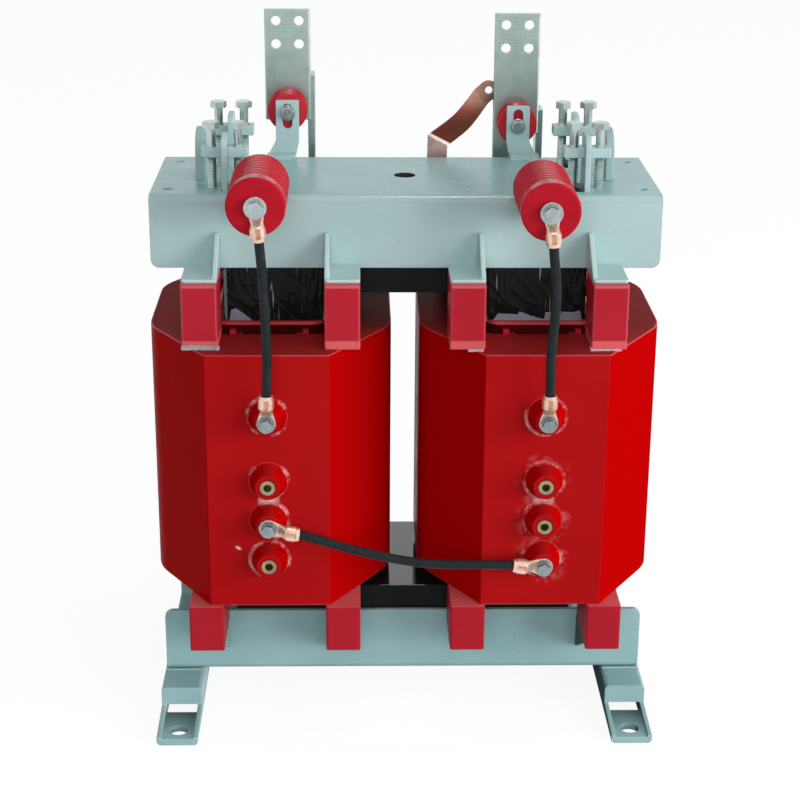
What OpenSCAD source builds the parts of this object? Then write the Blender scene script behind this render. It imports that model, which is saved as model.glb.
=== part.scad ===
// Single-phase, two-limb cast-resin power transformer on welded channel feet.
// Millimetres. X runs along the yokes, Y from the front to the back, Z up.
// The origin is on the floor, in the middle of the feet.

/* [Feet] */
// Width of a foot channel
foot_w = 45; // [40:1:54]
// Height of a foot channel
foot_h = 35.5; // [32:0.5:48]
// Sheet thickness of a foot
foot_t = 5; // [3:0.5:7]
// Length of a foot on the floor, front to back
foot_l = 406; // [390:1:440]
// How far the top of each foot end is cut back
foot_cut = 65; // [50:1:70]
// Height of the lip that hangs in each foot end
foot_lip_h = 21; // [12:1:22]
// Length of the bolting pad in each foot end
foot_pad_l = 60; // [50:1:80]
// Thickness of the bolting pads
foot_pad_t = 8; // [5:0.5:9]
// Distance of a foot bolt hole from the foot's end
foot_hole_in = 20; // [16:1:28]
// Radius of a foot bolt hole
foot_hole_r = 10; // [6:0.5:11]
// Radius of a foot's long edges
foot_round_r = 5; // [2:0.5:8]
// Height of a foot's side walls at their ends
foot_nose_h = 10; // [10:0.5:12]
// Distance of a foot's middle from the clamp's end
foot_inset = 20; // [18:1:40]

/* [Clamps] */
// Length of both clamps
clamp_l = 537; // [520:1:560]
// Depth of both clamps, over the skirts
clamp_d = 190; // [180:1:200]
// Sheet thickness of both clamps
clamp_t = 6; // [4:0.5:8]
// Outer radius of the clamps' folds
clamp_fold_r = 8; // [7.5:0.5:12]
// Radius of the skirts' free corners
clamp_corner_r = 9; // [4:1:15]
// Height of the lower clamp
lower_clamp_h = 74.5; // [66:0.5:80]
// Height of the upper clamp
upper_clamp_h = 78; // [70:1:84]
// Radius of the hole in the middle of the upper clamp
clamp_hole_r = 11.5; // [6:0.5:15]
// Radius of the four small holes near the upper clamp's corners
corner_hole_r = 5; // [3:0.5:7]
// Distance of the corner holes from the upper clamp's ends
corner_hole_in = 18; // [14:1:22]
// Distance between the front and the back corner holes
corner_hole_pitch = 130; // [110:1:150]

/* [Core] */
// Distance between the two limbs' middles
limb_pitch = 290; // [282:1:296]
// Width of a limb
limb_w = 84; // [78:1:90]
// Height of a yoke
yoke_h = 90; // [84:1:96]
// Room between a low-voltage coil and the upper yoke
yoke_room = 29; // [24:1:34]
// Room between a limb and a tie plate, and round a tie plate in its openings
tie_room = 0.5; // [0.3:0.1:1]
// Thickness of the board under the lower yoke
lower_board_t = 6.5; // [4:0.5:8]
// Thickness of the board on the upper yoke
upper_board_t = 11; // [4:0.5:14]

/* [Coils] */
// Width of a high-voltage coil
coil_w = 260; // [252:1:266]
// Depth of a high-voltage coil
coil_d = 356; // [346:1:364]
// Height of a high-voltage coil
coil_h = 284; // [274:1:290]
// Width of the flat front face of a coil
coil_face_w = 129; // [120:1:140]
// Depth of the straight side of a coil
coil_side_d = 150; // [120:1:170]
// Radius between a coil's straight side and its slanted corner
coil_round_r = 70; // [30:1:80]
// Radius of the edges of a coil's flat face
coil_edge_r = 3; // [2:0.5:6]
// Wall of a low-voltage coil
lv_wall = 10; // [8:0.5:12]
// Room between a limb and its low-voltage coil, front and back
lv_room = 2; // [1:0.5:4]
// Inner corner radius of a low-voltage coil
lv_round_r = 4; // [2:0.5:6]
// How far a low-voltage coil stands above the high-voltage coil
lv_rise = 11; // [6:1:16]
// Width of the air duct between the two coils
duct_w = 6; // [4:0.5:8]
// Width of a spacer stick in the duct
stick_w = 6; // [4:0.5:10]
// Distance of the spacer sticks from a coil's middle
stick_x = 32; // [24:1:40]

/* [Terminals] */
// Height of the lowest tap above the coil's bottom
tap_z = 55; // [48:1:62]
// Distance between taps
tap_pitch = 45; // [43:0.5:47]
// Height of the end terminal above the coil's bottom
end_terminal_z = 217; // [210:1:224]
// Radius of a terminal boss at its root
boss_root_r = 20; // [17:0.5:21]
// Radius of a terminal boss at its tip
boss_tip_r = 13.5; // [11:0.5:15]
// How far a terminal boss stands out
boss_l = 20; // [14:1:22]
// Radius of a brass insert
insert_r = 8; // [6:0.5:9]
// Length of a brass insert
insert_l = 24; // [18:1:28]
// How far a brass insert stands out of its boss
insert_proud = 1; // [0.5:0.5:2]
// Depth of the threaded hole in an insert
insert_hole_l = 16; // [10:1:17]

/* [Support blocks] */
// Width of a support block
block_w = 37; // [32:1:42]
// Distance of the outer blocks from the middle
block_outer_x = 214; // [208:1:220]
// Distance of the inner blocks from the middle
block_inner_x = 67; // [62:1:72]
// How far the right coil's upper blocks and brackets sit to the left of their even places
right_upper_shift = 4.5; // [0:0.5:5]
// Height of a lower block
lower_block_h = 52; // [48:1:56]
// Reach of a lower block from the middle
lower_block_y = 183; // [176:1:186]
// Reach of an upper block from the middle
upper_block_y = 160; // [152:1:166]
// Room between a block and the clamp's skirt
block_room = 5; // [3:0.5:8]
// How far an upper block stands out in front of its seat plate
upper_lap = 7; // [2:0.5:9]
// How far a lower block stands out in front of its seat plate
lower_lap = 18; // [12:1:24]
// Radius of a seat plate's front corners
seat_round_r = 4; // [2:0.5:6]
// Edge radius of a block
block_round_r = 2; // [1:0.5:4]
// Thickness of the pad under an upper block
pad_t = 9; // [6:0.5:12]
// Plate thickness of the brackets that hold the blocks
bracket_t = 4; // [3:0.5:6]
// Thickness of a bracket's gusset
gusset_t = 5; // [3:0.5:7]
// Height of a bracket's gusset
gusset_h = 35; // [30:1:48]
// Distance of a lower bracket's seat below the lower clamp's edge
lower_seat_drop = 5; // [4:1:10]

/* [Tie plates] */
// Thickness of a tie plate
tie_t = 6; // [4:0.5:7]
// Depth of a tie plate
tie_d = 40; // [32:1:42]
// Distance between the front and the back tie plates' middles
tie_pitch = 112; // [106:1:118]
// Height of a tie plate above the upper clamp
tie_rise = 57; // [52:1:62]
// Radius of a tie plate's upper corners
tie_round_r = 12; // [6:1:15]
// Room on the inner side of a tie plate in its slot
tie_slot_room = 9; // [4:1:12]
// Length of a cross bar
bar_l = 50; // [48:1:54]
// Height of a cross bar
bar_h = 11; // [9:0.5:12]
// Depth of a cross bar
bar_d = 20; // [18:1:24]
// Height of a cross bar's underside above the upper clamp
bar_z = 33; // [28:1:36]
// Distance of a jack bolt from its tie plate's middle
jack_x = 14; // [13:0.5:16]
// Radius of a jack bolt
jack_r = 5; // [4:0.5:5.5]
// Height of a jack bolt's head underside above the upper clamp
jack_rise = 63; // [58:1:68]
// Width of a jack bolt's head across its flats
jack_head_w = 16; // [14:0.5:18]
// Height of a jack bolt's head
jack_head_h = 7; // [5:0.5:8]

/* [Lifting eyes] */
// Thickness of a lifting eye
eye_t = 9; // [6:1:12]
// Depth of a lifting eye
eye_d = 52; // [46:1:60]
// Height of a lifting eye
eye_h = 53; // [50:1:60]
// Radius of a lifting eye's hole
eye_hole_r = 12; // [9:0.5:14]
// Distance of a lifting eye's middle from the clamp's end
eye_inset = 48.5; // [44:0.5:52]

/* [Insulators] */
// Distance of the front insulators from the middle
front_ins_x = 146; // [142:1:150]
// How far both front insulators sit to the left of their even places
front_ins_shift = 5.7; // [0:0.1:6]
// Radius of a front insulator
front_ins_r = 30; // [26:1:32]
// Radius at the bottom of a front insulator's grooves
front_groove_r = 27.2; // [24:0.1:28]
// Number of grooves round a front insulator
front_grooves = 8; // [5:1:10]
// Length of the plain front end of an insulator
front_ins_head = 16; // [12:1:24]
// Length of the plain rear end of an insulator
front_ins_tail = 6; // [4:0.5:10]
// Rounding of an insulator's rims
ins_edge = 2; // [1:0.5:3]
// Length of a front insulator
front_ins_l = 106; // [96:1:107]
// Height of the left front insulator above the upper clamp
left_front_lift = 14; // [10:1:20]
// Height of the right front insulator above the upper clamp
right_front_lift = 9; // [9:1:16]
// Distance of the rear insulators and busbars from the middle
rear_ins_x = 130; // [126:1:134]
// Radius of a rear insulator
rear_ins_r = 22; // [18:1:24]
// Radius of a rear insulator's waist
rear_waist_r = 19; // [15:0.5:21]
// Length of a rear insulator's flanges
rear_flange_l = 10; // [7:0.5:11]
// Length of a rear insulator
rear_ins_l = 30; // [26:1:36]
// Height of the left rear insulator above the upper clamp
left_rear_lift = 50; // [46:1:52]
// Height of the right rear insulator above the upper clamp
right_rear_lift = 35; // [34:1:42]
// Width of an insulator strap
strap_w = 26; // [24:1:30]
// Thickness of an insulator strap
strap_t = 5; // [4:0.5:6]
// Height of the left rear strap above the upper clamp
left_rear_strap_h = 64; // [60:1:68]
// Height of the right rear strap above the upper clamp
right_rear_strap_h = 58; // [54:1:60]
// Height of a front strap above the upper clamp
front_strap_h = 38; // [36:1:44]
// Length of a strap's foot
strap_foot_l = 18; // [14:1:22]
// Width of a strap's foot
strap_foot_w = 32; // [30:1:40]
// How far a rear strap's foot lies outside its upright
strap_lean = 7; // [0:0.5:9]
// Radius of a strap's upper corners
strap_round_r = 2; // [1:0.5:4]
// Width of the slot in a strap
strap_slot_w = 11; // [10.5:0.5:13]
// Length of the slot in a strap
strap_slot_l = 28; // [24:1:32]
// Distance of the slot from the top of its strap
strap_slot_edge = 4; // [3:0.5:6]

/* [Busbars] */
// Width of a busbar
busbar_w = 52; // [48:1:56]
// Thickness of a busbar
busbar_t = 6; // [4:0.5:8]
// Height of the left busbar's top above the upper clamp
left_busbar_rise = 160; // [150:1:170]
// Height of the right busbar's top above the upper clamp
right_busbar_rise = 156; // [150:1:170]
// Distance between a busbar's holes, both ways
busbar_hole_pitch = 26; // [24:1:28]
// Radius of a busbar's holes
busbar_hole_r = 5.5; // [4:0.5:6.5]
// Distance of the upper holes from a busbar's top
busbar_hole_in = 13; // [10:1:16]
// How far a busbar reaches below the top of its insulator's underside
busbar_tuck = 7; // [4:0.5:10]
// Width of the leg that carries the right busbar
busbar_leg_w = 20; // [16:1:24]
// Thickness of a coil lead, which stands edge-on behind its busbar
lead_t = 8; // [6:0.5:10]
// Depth of a coil lead
lead_d = 30; // [24:1:40]
// Distance of the left lead's middle from its busbar's middle
left_lead_x = 26; // [22:0.5:28]
// Distance of the right lead's middle from its busbar's middle
right_lead_x = 28; // [22:0.5:28]
// Height of the left lead's top above the upper clamp
left_lead_rise = 85; // [60:1:100]
// Height of the right lead's top above the upper clamp
right_lead_rise = 46; // [40:1:60]
// Height of the step in the leads above the low-voltage coil, and below the upper clamp
lead_step = 12; // [10:0.5:14]
// Width of the copper strap
earth_w = 22; // [18:1:24]
// Thickness of the copper strap
earth_t = 3; // [2:0.5:4]
// Distance of the copper strap's foot from the middle
earth_x = 38; // [34:1:42]
// How far the copper strap hangs below the deck
earth_drop = 48; // [40:1:56]
// Height of the copper strap's fold above the deck
earth_fold = 18.4; // [14:0.1:22]
// How far the copper strap's fold lies to the side of its foot
earth_lean_x = 4.3; // [0:0.1:6]
// Rise and fall of the copper strap's slanting fold
earth_tilt = 5.7; // [2:0.1:7]
// How far the copper strap's end lies to the side of its foot
earth_side = 61; // [56:1:64]
// Height of the copper strap's end hole above the deck
earth_rise = 68; // [62:1:74]
// Room between the copper strap's end and the right busbar
earth_room = 2; // [1:0.5:4]
// Radius of the holes in the copper strap
earth_hole_r = 4.3; // [3:0.1:5]

/* [Cables] */
// Diameter of the jumper cables
cable_d = 10.4; // [9:0.2:12]
// Radius of a cable lug's barrel
lug_r = 7; // [6.4:0.1:8]
// Length of a cable lug's barrel
lug_l = 17.5; // [16:0.5:22]
// Distance from a lug's bolt to its barrel
lug_neck = 15.5; // [15:0.5:19]
// Lean of the lugs from upright: left top, left bottom, right top, right bottom
lug_leans = [6, 4, 5, 2];
// Dip of the link cable's left lug
link_dip = 8; // [0:1:15]
// Width of a lug between its palm and its barrel
lug_neck_w = 16; // [12:0.5:18]
// Radius of a lug's palm
lug_palm_r = 10; // [9:0.5:11]
// Thickness of a lug's palm
lug_palm_t = 3; // [2:0.5:4]
// Radius of the bolts in the terminals and insulators
bolt_r = 4; // [3:0.5:4.5]
// Radial room round a bolt in the plates that it passes through
bolt_room = 0.6; // [0.4:0.1:1]
// Length of a bolt's thread in an insert or insulator
bolt_thread_l = 12; // [8:1:14]
// Radius of a terminal washer
washer_r = 11.5; // [10.5:0.5:12]
// Thickness of a washer
washer_t = 2.5; // [1.5:0.5:3]
// Width of a terminal bolt's head across its flats
bolt_head_w = 14.5; // [13:0.5:18]
// Width of a strap bolt's head across its flats
small_head_w = 15; // [13:0.5:15]
// Height of a bolt's head
bolt_head_h = 6.5; // [5:0.5:8]

/* [Hidden] */
$fn = 48;
cable_sides = 10;
hex_ratio = 2 / sqrt(3);
overcut = 1;
groove_slope = 0.15;
groove_floor = 0.3;
thread_room = 0.1;
well_l = bolt_thread_l + 1;
insert_hole_r = bolt_r + thread_room;
bolt_hole_r = bolt_r + bolt_room;

// Heights, from the floor up
lower_clamp_z = foot_h;
lower_clamp_top = lower_clamp_z + lower_clamp_h;
core_z = lower_clamp_z + clamp_t + lower_board_t;
window_z = core_z + yoke_h;
lower_seat_z = lower_clamp_top - lower_seat_drop;
coil_z = lower_seat_z + lower_block_h;
coil_top = coil_z + coil_h;
lv_top = coil_top + lv_rise;
upper_yoke_z = lv_top + yoke_room;
window_h = upper_yoke_z - window_z;
core_top = upper_yoke_z + yoke_h;
upper_plate_z = core_top + upper_board_t;
deck_z = upper_plate_z + clamp_t;
upper_clamp_z = deck_z - upper_clamp_h;
end_z = coil_z + end_terminal_z;

// Plan
skirt_y = clamp_d / 2;
core_d = clamp_d - 2 * clamp_t;
core_l = limb_pitch + limb_w;
limb_x = limb_pitch / 2;
foot_x = clamp_l / 2 - foot_inset;
foot_end = foot_l / 2;
foot_hole_y = foot_end - foot_hole_in;
corner_hole_x = clamp_l / 2 - corner_hole_in;
tie_x = limb_x + limb_w / 2 + tie_room + tie_t / 2;
tie_y = tie_pitch / 2;
eye_x = clamp_l / 2 - eye_inset;
lv_in_x = limb_w / 2 + tie_t + 3 * tie_room;
lv_in_y = core_d / 2 + lv_room;
lv_out_x = lv_in_x + lv_wall;
lv_out_y = lv_in_y + lv_wall;
hv_in_x = lv_out_x + duct_w;
hv_in_y = lv_out_y + duct_w;
hv_round_r = lv_round_r + lv_wall + duct_w;
coil_front = coil_d / 2;
boss_front = coil_front + boss_l;
lug_seat = boss_front + insert_proud;
front_ins_back = skirt_y;
front_ins_end = front_ins_back + front_ins_l;
rear_strap_y = skirt_y - strap_t;
busbar_y = skirt_y + rear_ins_l;
busbar_root_y = lv_out_y - (lv_wall - busbar_t) / 2 - busbar_t;
busbar_back = busbar_y + busbar_t;
lead_low = lv_top + lead_step;
lead_high = upper_clamp_z - lead_step;
earth_end_y = busbar_back + earth_room;

// Heights of the terminals with a bolted lug, left and right, by tap number
tap_heights = [for (i = [0:2]) coil_z + tap_z + i * tap_pitch];
left_link_tap = 1;
right_link_tap = 0;

// Places of the bolts, in X and Z
left_front_x = -front_ins_x - front_ins_shift;
right_front_x = front_ins_x - front_ins_shift;
front_bolts = [[left_front_x, deck_z + left_front_lift], [right_front_x, deck_z + right_front_lift]];
rear_bolts = [[-rear_ins_x, deck_z + left_rear_lift], [rear_ins_x, deck_z + right_rear_lift]];
earth_bolts = [[earth_x, deck_z - earth_drop]];
lug_bolts = [[-limb_x, end_z], [limb_x, end_z], [-limb_x, tap_heights[left_link_tap]],
             [limb_x, tap_heights[right_link_tap]]];

// Routes of the jumper cables, from lug to lug
left_drop_route = [
    [-148.3, -208, 569.2], [-147.9, -208.6, 562], [-147.5, -209.4, 553], [-147.1, -210.2, 543],
    [-146.7, -211, 532], [-146.4, -211.6, 520], [-146.1, -212, 507], [-146, -212.2, 494],
    [-146, -212.1, 481], [-146.1, -211.7, 468], [-146.3, -211, 455], [-146.6, -210, 442],
    [-146.9, -208.8, 430], [-147.1, -207.4, 418], [-147.3, -206, 406.9]];
right_drop_route = [
    [143.2, -208, 564.1], [144.2, -208.7, 556], [145.6, -209.5, 548], [147.2, -210.3, 540],
    [148.8, -211.2, 530], [149.9, -211.9, 520], [150.4, -212.3, 508], [150.3, -212.5, 496],
    [149.7, -212.3, 482], [148.9, -211.8, 468], [148.1, -211, 454], [147.4, -210, 440],
    [146.8, -208.8, 428], [146.4, -207.4, 417], [146.1, -206, 407]];
link_route = [
    [-112.3, -206, 252.4], [-100, -206.8, 250.6], [-84, -208.2, 247.5], [-68, -209.6, 243.5],
    [-52, -210.8, 238.6], [-36, -211.8, 233.5], [-20, -212.5, 228.6], [-4, -213, 224.4],
    [12, -213, 221], [28, -212.7, 218.4], [44, -212, 216.2], [60, -210.9, 214.6],
    [78, -209.3, 213.2], [96, -207.5, 212.4], [112, -206, 212]];

// Colours
grey_green = [0.63, 0.73, 0.73];
coil_red = [0.67, 0.07, 0.09];
block_red = [0.72, 0.13, 0.19];
pad_red = [0.88, 0.36, 0.36];
core_black = [0.07, 0.07, 0.07];
zinc = [0.63, 0.68, 0.68];
brass = [0.65, 0.6, 0.45];
copper = [0.78, 0.5, 0.36];
board_grey = [0.75, 0.75, 0.78];
cable_black = [0.16, 0.18, 0.2];

// Points of an arc that rounds corner b of the outline a, b, c
function unit(v) = v / norm(v);
function corner(a, b, c, r, steps) =
    let (p = unit(a - b), q = unit(c - b),
         half = acos(max(-1, min(1, p * q))) / 2,
         middle = b + unit(p + q) * r / sin(half),
         start = b + p * r / tan(half),
         sweep = 180 - 2 * half,
         turn = p[0] * q[1] - p[1] * q[0] > 0 ? -1 : 1,
         from = start - middle)
    [for (i = [0:steps])
        let (angle = turn * sweep * i / steps)
        middle + [from[0] * cos(angle) - from[1] * sin(angle),
                  from[0] * sin(angle) + from[1] * cos(angle)]];

// Outline with each corner rounded by its own radius
function rounded(points, radii, steps = 6) =
    [for (i = [0:len(points) - 1])
        each (radii[i] > 0
            ? corner(points[(i + len(points) - 1) % len(points)], points[i],
                     points[(i + 1) % len(points)], radii[i], steps)
            : [points[i]])];

function box_outline(x, y) = [[-x, -y], [x, -y], [x, y], [-x, y]];

// Flat outline in X and Z, drawn from y_from to y_to
module plate_xz(y_from, y_to) {
    translate([0, y_to, 0])
        rotate([90, 0, 0])
            linear_extrude(y_to - y_from)
                children();
}

// Flat outline in Y and Z, drawn from x_from to x_to
module plate_yz(x_from, x_to) {
    translate([x_from, 0, 0])
        rotate([90, 0, 90])
            linear_extrude(x_to - x_from)
                children();
}

// Child on both ends of an axis, as drawn and mirrored
module pair(axis) {
    children();
    mirror(axis)
        children();
}

// Round bar along Y
module bar_y(y_from, y_to, r) {
    translate([0, y_from, 0])
        rotate([-90, 0, 0])
            cylinder(h = y_to - y_from, r = r);
}

// Hexagon prism along Y, by its width across flats
module hex_y(y_from, y_to, flats) {
    translate([0, y_from, 0])
        rotate([-90, 0, 0])
            cylinder(h = y_to - y_from, r = flats * hex_ratio / 2, $fn = 6);
}

// Side view of a foot: lips in its ends, and side walls that slope down in front of them
function foot_side() =
    let (top_end = foot_end - foot_cut, lip_z = foot_h - foot_lip_h)
    [[-foot_end, 0], [foot_end, 0], [foot_end, foot_nose_h], [top_end, lip_z],
     [top_end, foot_h], [-top_end, foot_h], [-top_end, lip_z], [-foot_end, foot_nose_h]];

// Box to cut from a foot's inside, between its side walls
module foot_space(y_from, y_to, z_from, z_to) {
    inside = foot_w / 2 - foot_t;
    translate([-inside, y_from, z_from])
        cube([2 * inside, y_to - y_from, z_to - z_from]);
}

module foot() {
    top_end = foot_end - foot_cut;
    pad_from = foot_end - foot_pad_l;
    lip_back = top_end - foot_t;
    lip_z = foot_h - foot_lip_h;
    difference() {
        intersection() {
            plate_yz(-foot_w / 2, foot_w / 2)
                polygon(foot_side());
            plate_xz(-foot_end, foot_end)
                translate([0, foot_h / 2])
                    polygon(rounded(box_outline(foot_w / 2, foot_h / 2), [1, 1, 1, 1] * foot_round_r));
        }
        // Under the top wall, between the lips
        foot_space(-lip_back, lip_back, foot_pad_t, foot_h - foot_t);
        // In front of the lips and under them
        pair([0, 1, 0])
            foot_space(lip_back - overcut, foot_end + overcut, foot_pad_t, lip_z);
        // Open floor between the two pads
        foot_space(-pad_from, pad_from, -overcut, foot_pad_t + overcut);
        pair([0, 1, 0])
            translate([0, foot_hole_y, -overcut])
                cylinder(h = foot_pad_t + 2 * overcut, r = foot_hole_r);
    }
}

module left_foot() {
    color(grey_green)
        translate([-foot_x, 0, 0])
            foot();
}

module right_foot() {
    color(grey_green)
        translate([foot_x, 0, 0])
            foot();
}

// Folded channel section in Y and Z, open upwards, with its underside on Z 0
module channel_outline(h) {
    inner_r = clamp_fold_r - clamp_t;
    fold = [[-skirt_y, 0], [skirt_y, 0], [skirt_y, h], [-skirt_y, h]];
    inside = [[-core_d / 2, clamp_t], [core_d / 2, clamp_t],
              [core_d / 2, h + overcut], [-core_d / 2, h + overcut]];
    difference() {
        polygon(rounded(fold, [clamp_fold_r, clamp_fold_r, 0, 0]));
        polygon(rounded(inside, [inner_r, inner_r, 0, 0]));
    }
}

// Clamp channel with the free corners of its skirts rounded
module clamp_channel(h) {
    half = clamp_l / 2;
    intersection() {
        plate_yz(-half, half)
            channel_outline(h);
        plate_xz(-skirt_y, skirt_y)
            polygon(rounded([[-half, 0], [half, 0], [half, h], [-half, h]],
                            [0, 0, clamp_corner_r, clamp_corner_r]));
    }
}

module lower_clamp() {
    color(grey_green)
        translate([0, 0, lower_clamp_z])
            clamp_channel(lower_clamp_h);
}

module upper_clamp() {
    slot_from = tie_x - tie_t / 2 - tie_slot_room;
    slot_to = tie_x + tie_t / 2 + tie_room;
    color(grey_green)
        difference() {
            translate([0, 0, deck_z])
                mirror([0, 0, 1])
                    clamp_channel(upper_clamp_h);
            translate([0, 0, upper_plate_z - overcut]) {
                cylinder(h = clamp_t + 2 * overcut, r = clamp_hole_r);
                for (x = [-corner_hole_x, corner_hole_x], y = [-1, 1] * corner_hole_pitch / 2)
                    translate([x, y, 0])
                        cylinder(h = clamp_t + 2 * overcut, r = corner_hole_r);
                pair([1, 0, 0])
                    for (y = [-tie_y, tie_y])
                        translate([slot_from, y - tie_d / 2 - tie_room, 0])
                            cube([slot_to - slot_from, tie_d + 2 * tie_room, clamp_t + 2 * overcut]);
            }
            at_places(earth_bolts)
                bar_y(core_d / 2 - overcut, skirt_y + overcut, insert_hole_r);
        }
}

// Bracket for a front block: a seat plate and a gusset at its side, on Z 0, growing upwards
module bracket(reach, gusset_side) {
    half = block_w / 2;
    edge = gusset_side * half;
    tip = reach - seat_round_r;
    linear_extrude(bracket_t)
        polygon(rounded([[-half, -reach], [half, -reach], [half, -skirt_y], [-half, -skirt_y]],
                        [seat_round_r, seat_round_r, 0, 0]));
    plate_yz(min(edge, edge - gusset_side * gusset_t), max(edge, edge - gusset_side * gusset_t))
        polygon([[-tip, bracket_t], [-skirt_y, bracket_t],
                 [-skirt_y, bracket_t + gusset_h], [-skirt_y - gusset_t, bracket_t + gusset_h]]);
}

// Places of the front blocks in X, with the side of each that has the gusset
lower_places = [[-block_outer_x, 1], [-block_inner_x, -1], [block_inner_x, 1], [block_outer_x, -1]];
upper_places = [lower_places[0], lower_places[1], [block_inner_x - right_upper_shift, 1],
                [block_outer_x - right_upper_shift, -1]];

// Brackets for all eight blocks on one level
module bracket_set(places, reach) {
    pair([0, 1, 0])
        for (place = places)
            translate([place[0], 0, 0])
                bracket(reach, place[1]);
}

module upper_brackets() {
    color(grey_green)
        translate([0, 0, upper_clamp_z])
            bracket_set(upper_places, upper_block_y - upper_lap);
}

module lower_brackets() {
    color(grey_green)
        translate([0, 0, lower_seat_z])
            mirror([0, 0, 1])
                bracket_set(lower_places, lower_block_y - lower_lap);
}

// Core
module yoke_boards() {
    color(board_grey) {
        translate([-core_l / 2, -core_d / 2 + clamp_fold_r, lower_clamp_z + clamp_t])
            cube([core_l, core_d - 2 * clamp_fold_r, lower_board_t]);
        translate([-core_l / 2, -core_d / 2 + clamp_fold_r, core_top])
            cube([core_l, core_d - 2 * clamp_fold_r, upper_board_t]);
    }
}

module yoke(z) {
    color(core_black)
        translate([-core_l / 2, -core_d / 2, z])
            cube([core_l, core_d, yoke_h]);
}

module lower_yoke() {
    yoke(core_z);
}

module upper_yoke() {
    yoke(upper_yoke_z);
}

module limb(x) {
    color(core_black)
        translate([x - limb_w / 2, -core_d / 2, window_z])
            cube([limb_w, core_d, window_h]);
}

module left_limb() {
    limb(-limb_x);
}

module right_limb() {
    limb(limb_x);
}

// Coils
module lv_coil(x) {
    color(coil_red)
        translate([x, 0, window_z])
            linear_extrude(lv_top - window_z)
                difference() {
                    polygon(rounded(box_outline(lv_out_x, lv_out_y), [1, 1, 1, 1] * (lv_round_r + lv_wall)));
                    polygon(rounded(box_outline(lv_in_x, lv_in_y), [1, 1, 1, 1] * lv_round_r));
                }
}

module left_lv_coil() {
    lv_coil(-limb_x);
}

module right_lv_coil() {
    lv_coil(limb_x);
}

function coil_outline() =
    let (face = coil_face_w / 2, side = coil_w / 2, straight = coil_side_d / 2)
    rounded([[-face, -coil_front], [face, -coil_front], [side, -straight], [side, straight],
             [face, coil_front], [-face, coil_front], [-side, straight], [-side, -straight]],
            [coil_edge_r, coil_edge_r, coil_round_r, coil_round_r,
             coil_edge_r, coil_edge_r, coil_round_r, coil_round_r]);

module at_terminals(x) {
    for (z = concat(tap_heights, [end_z]))
        translate([x, 0, z])
            children();
}

module hv_coil(x) {
    color(coil_red)
        difference() {
            union() {
                translate([x, 0, coil_z])
                    linear_extrude(coil_h)
                        difference() {
                            polygon(coil_outline());
                            difference() {
                                polygon(rounded(box_outline(hv_in_x, hv_in_y), [1, 1, 1, 1] * hv_round_r));
                                for (sx = [-stick_x, stick_x], side = [-1, 1])
                                    translate([sx - stick_w / 2,
                                               side * (lv_out_y + duct_w / 2) - duct_w / 2])
                                        square([stick_w, duct_w]);
                            }
                        }
                at_terminals(x)
                    translate([0, -coil_front, 0])
                        rotate([90, 0, 0])
                            cylinder(h = boss_l, r1 = boss_root_r, r2 = boss_tip_r);
            }
            at_terminals(x)
                bar_y(-lug_seat - overcut, -lug_seat + insert_l, insert_r);
        }
}

module left_hv_coil() {
    hv_coil(-limb_x);
}

module right_hv_coil() {
    hv_coil(limb_x);
}

// Brass inserts, flush with the bottoms of their bores
module inserts(x) {
    color(brass)
        at_terminals(x)
            difference() {
                bar_y(-lug_seat, -lug_seat + insert_l, insert_r);
                bar_y(-lug_seat - overcut, -lug_seat + insert_hole_l, insert_hole_r);
            }
}

module left_inserts() {
    inserts(-limb_x);
}

module right_inserts() {
    inserts(limb_x);
}

// Support blocks at some places, front and back
module blocks(places, reach, z, h) {
    half_d = (reach - skirt_y - block_room) / 2;
    pair([0, 1, 0])
        for (place = places)
            translate([place[0], -reach + half_d, z])
                linear_extrude(h)
                    polygon(rounded(box_outline(block_w / 2, half_d), [1, 1, 1, 1] * block_round_r, 3));
}

module lower_blocks(places) {
    color(block_red)
        blocks(places, lower_block_y, lower_seat_z, lower_block_h);
}

module upper_blocks(places) {
    color(block_red)
        blocks(places, upper_block_y, coil_top + pad_t, upper_clamp_z - coil_top - pad_t);
}

module left_lower_blocks() {
    lower_blocks([lower_places[0], lower_places[1]]);
}

module right_lower_blocks() {
    lower_blocks([lower_places[2], lower_places[3]]);
}

module left_upper_blocks() {
    upper_blocks([upper_places[0], upper_places[1]]);
}

module right_upper_blocks() {
    upper_blocks([upper_places[2], upper_places[3]]);
}

module block_pads() {
    color(pad_red)
        blocks(upper_places, upper_block_y, coil_top, pad_t);
}

// Tie plates, cross bars and jack bolts
module at_ties() {
    pair([1, 0, 0])
        pair([0, 1, 0])
            translate([tie_x, -tie_y, 0])
                children();
}

module tie_plates() {
    foot_z = lower_clamp_z + clamp_t;
    top_z = deck_z + tie_rise;
    bar_top = deck_z + bar_z + bar_h;
    color(grey_green)
        at_ties()
            plate_yz(-tie_t / 2, tie_t / 2)
                difference() {
                    polygon(rounded([[-tie_d / 2, foot_z], [tie_d / 2, foot_z],
                                     [tie_d / 2, top_z], [-tie_d / 2, top_z]],
                                    [0, 0, tie_round_r, tie_round_r]));
                    translate([-bar_d / 2 - tie_room, bar_top - bar_h - tie_room])
                        square([bar_d + 2 * tie_room, bar_h + tie_room]);
                }
}

module cross_bars() {
    color(grey_green)
        at_ties()
            difference() {
                translate([-bar_l / 2, -bar_d / 2, deck_z + bar_z])
                    cube([bar_l, bar_d, bar_h]);
                for (x = [-jack_x, jack_x])
                    translate([x, 0, deck_z + bar_z - overcut])
                        cylinder(h = bar_h + 2 * overcut, r = jack_r);
            }
}

module jack_bolts() {
    color(zinc)
        at_ties()
            for (x = [-jack_x, jack_x])
                translate([x, 0, deck_z]) {
                    cylinder(h = jack_rise, r = jack_r);
                    translate([0, 0, jack_rise])
                        cylinder(h = jack_head_h, r = jack_head_w * hex_ratio / 2, $fn = 6);
                }
}

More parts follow.
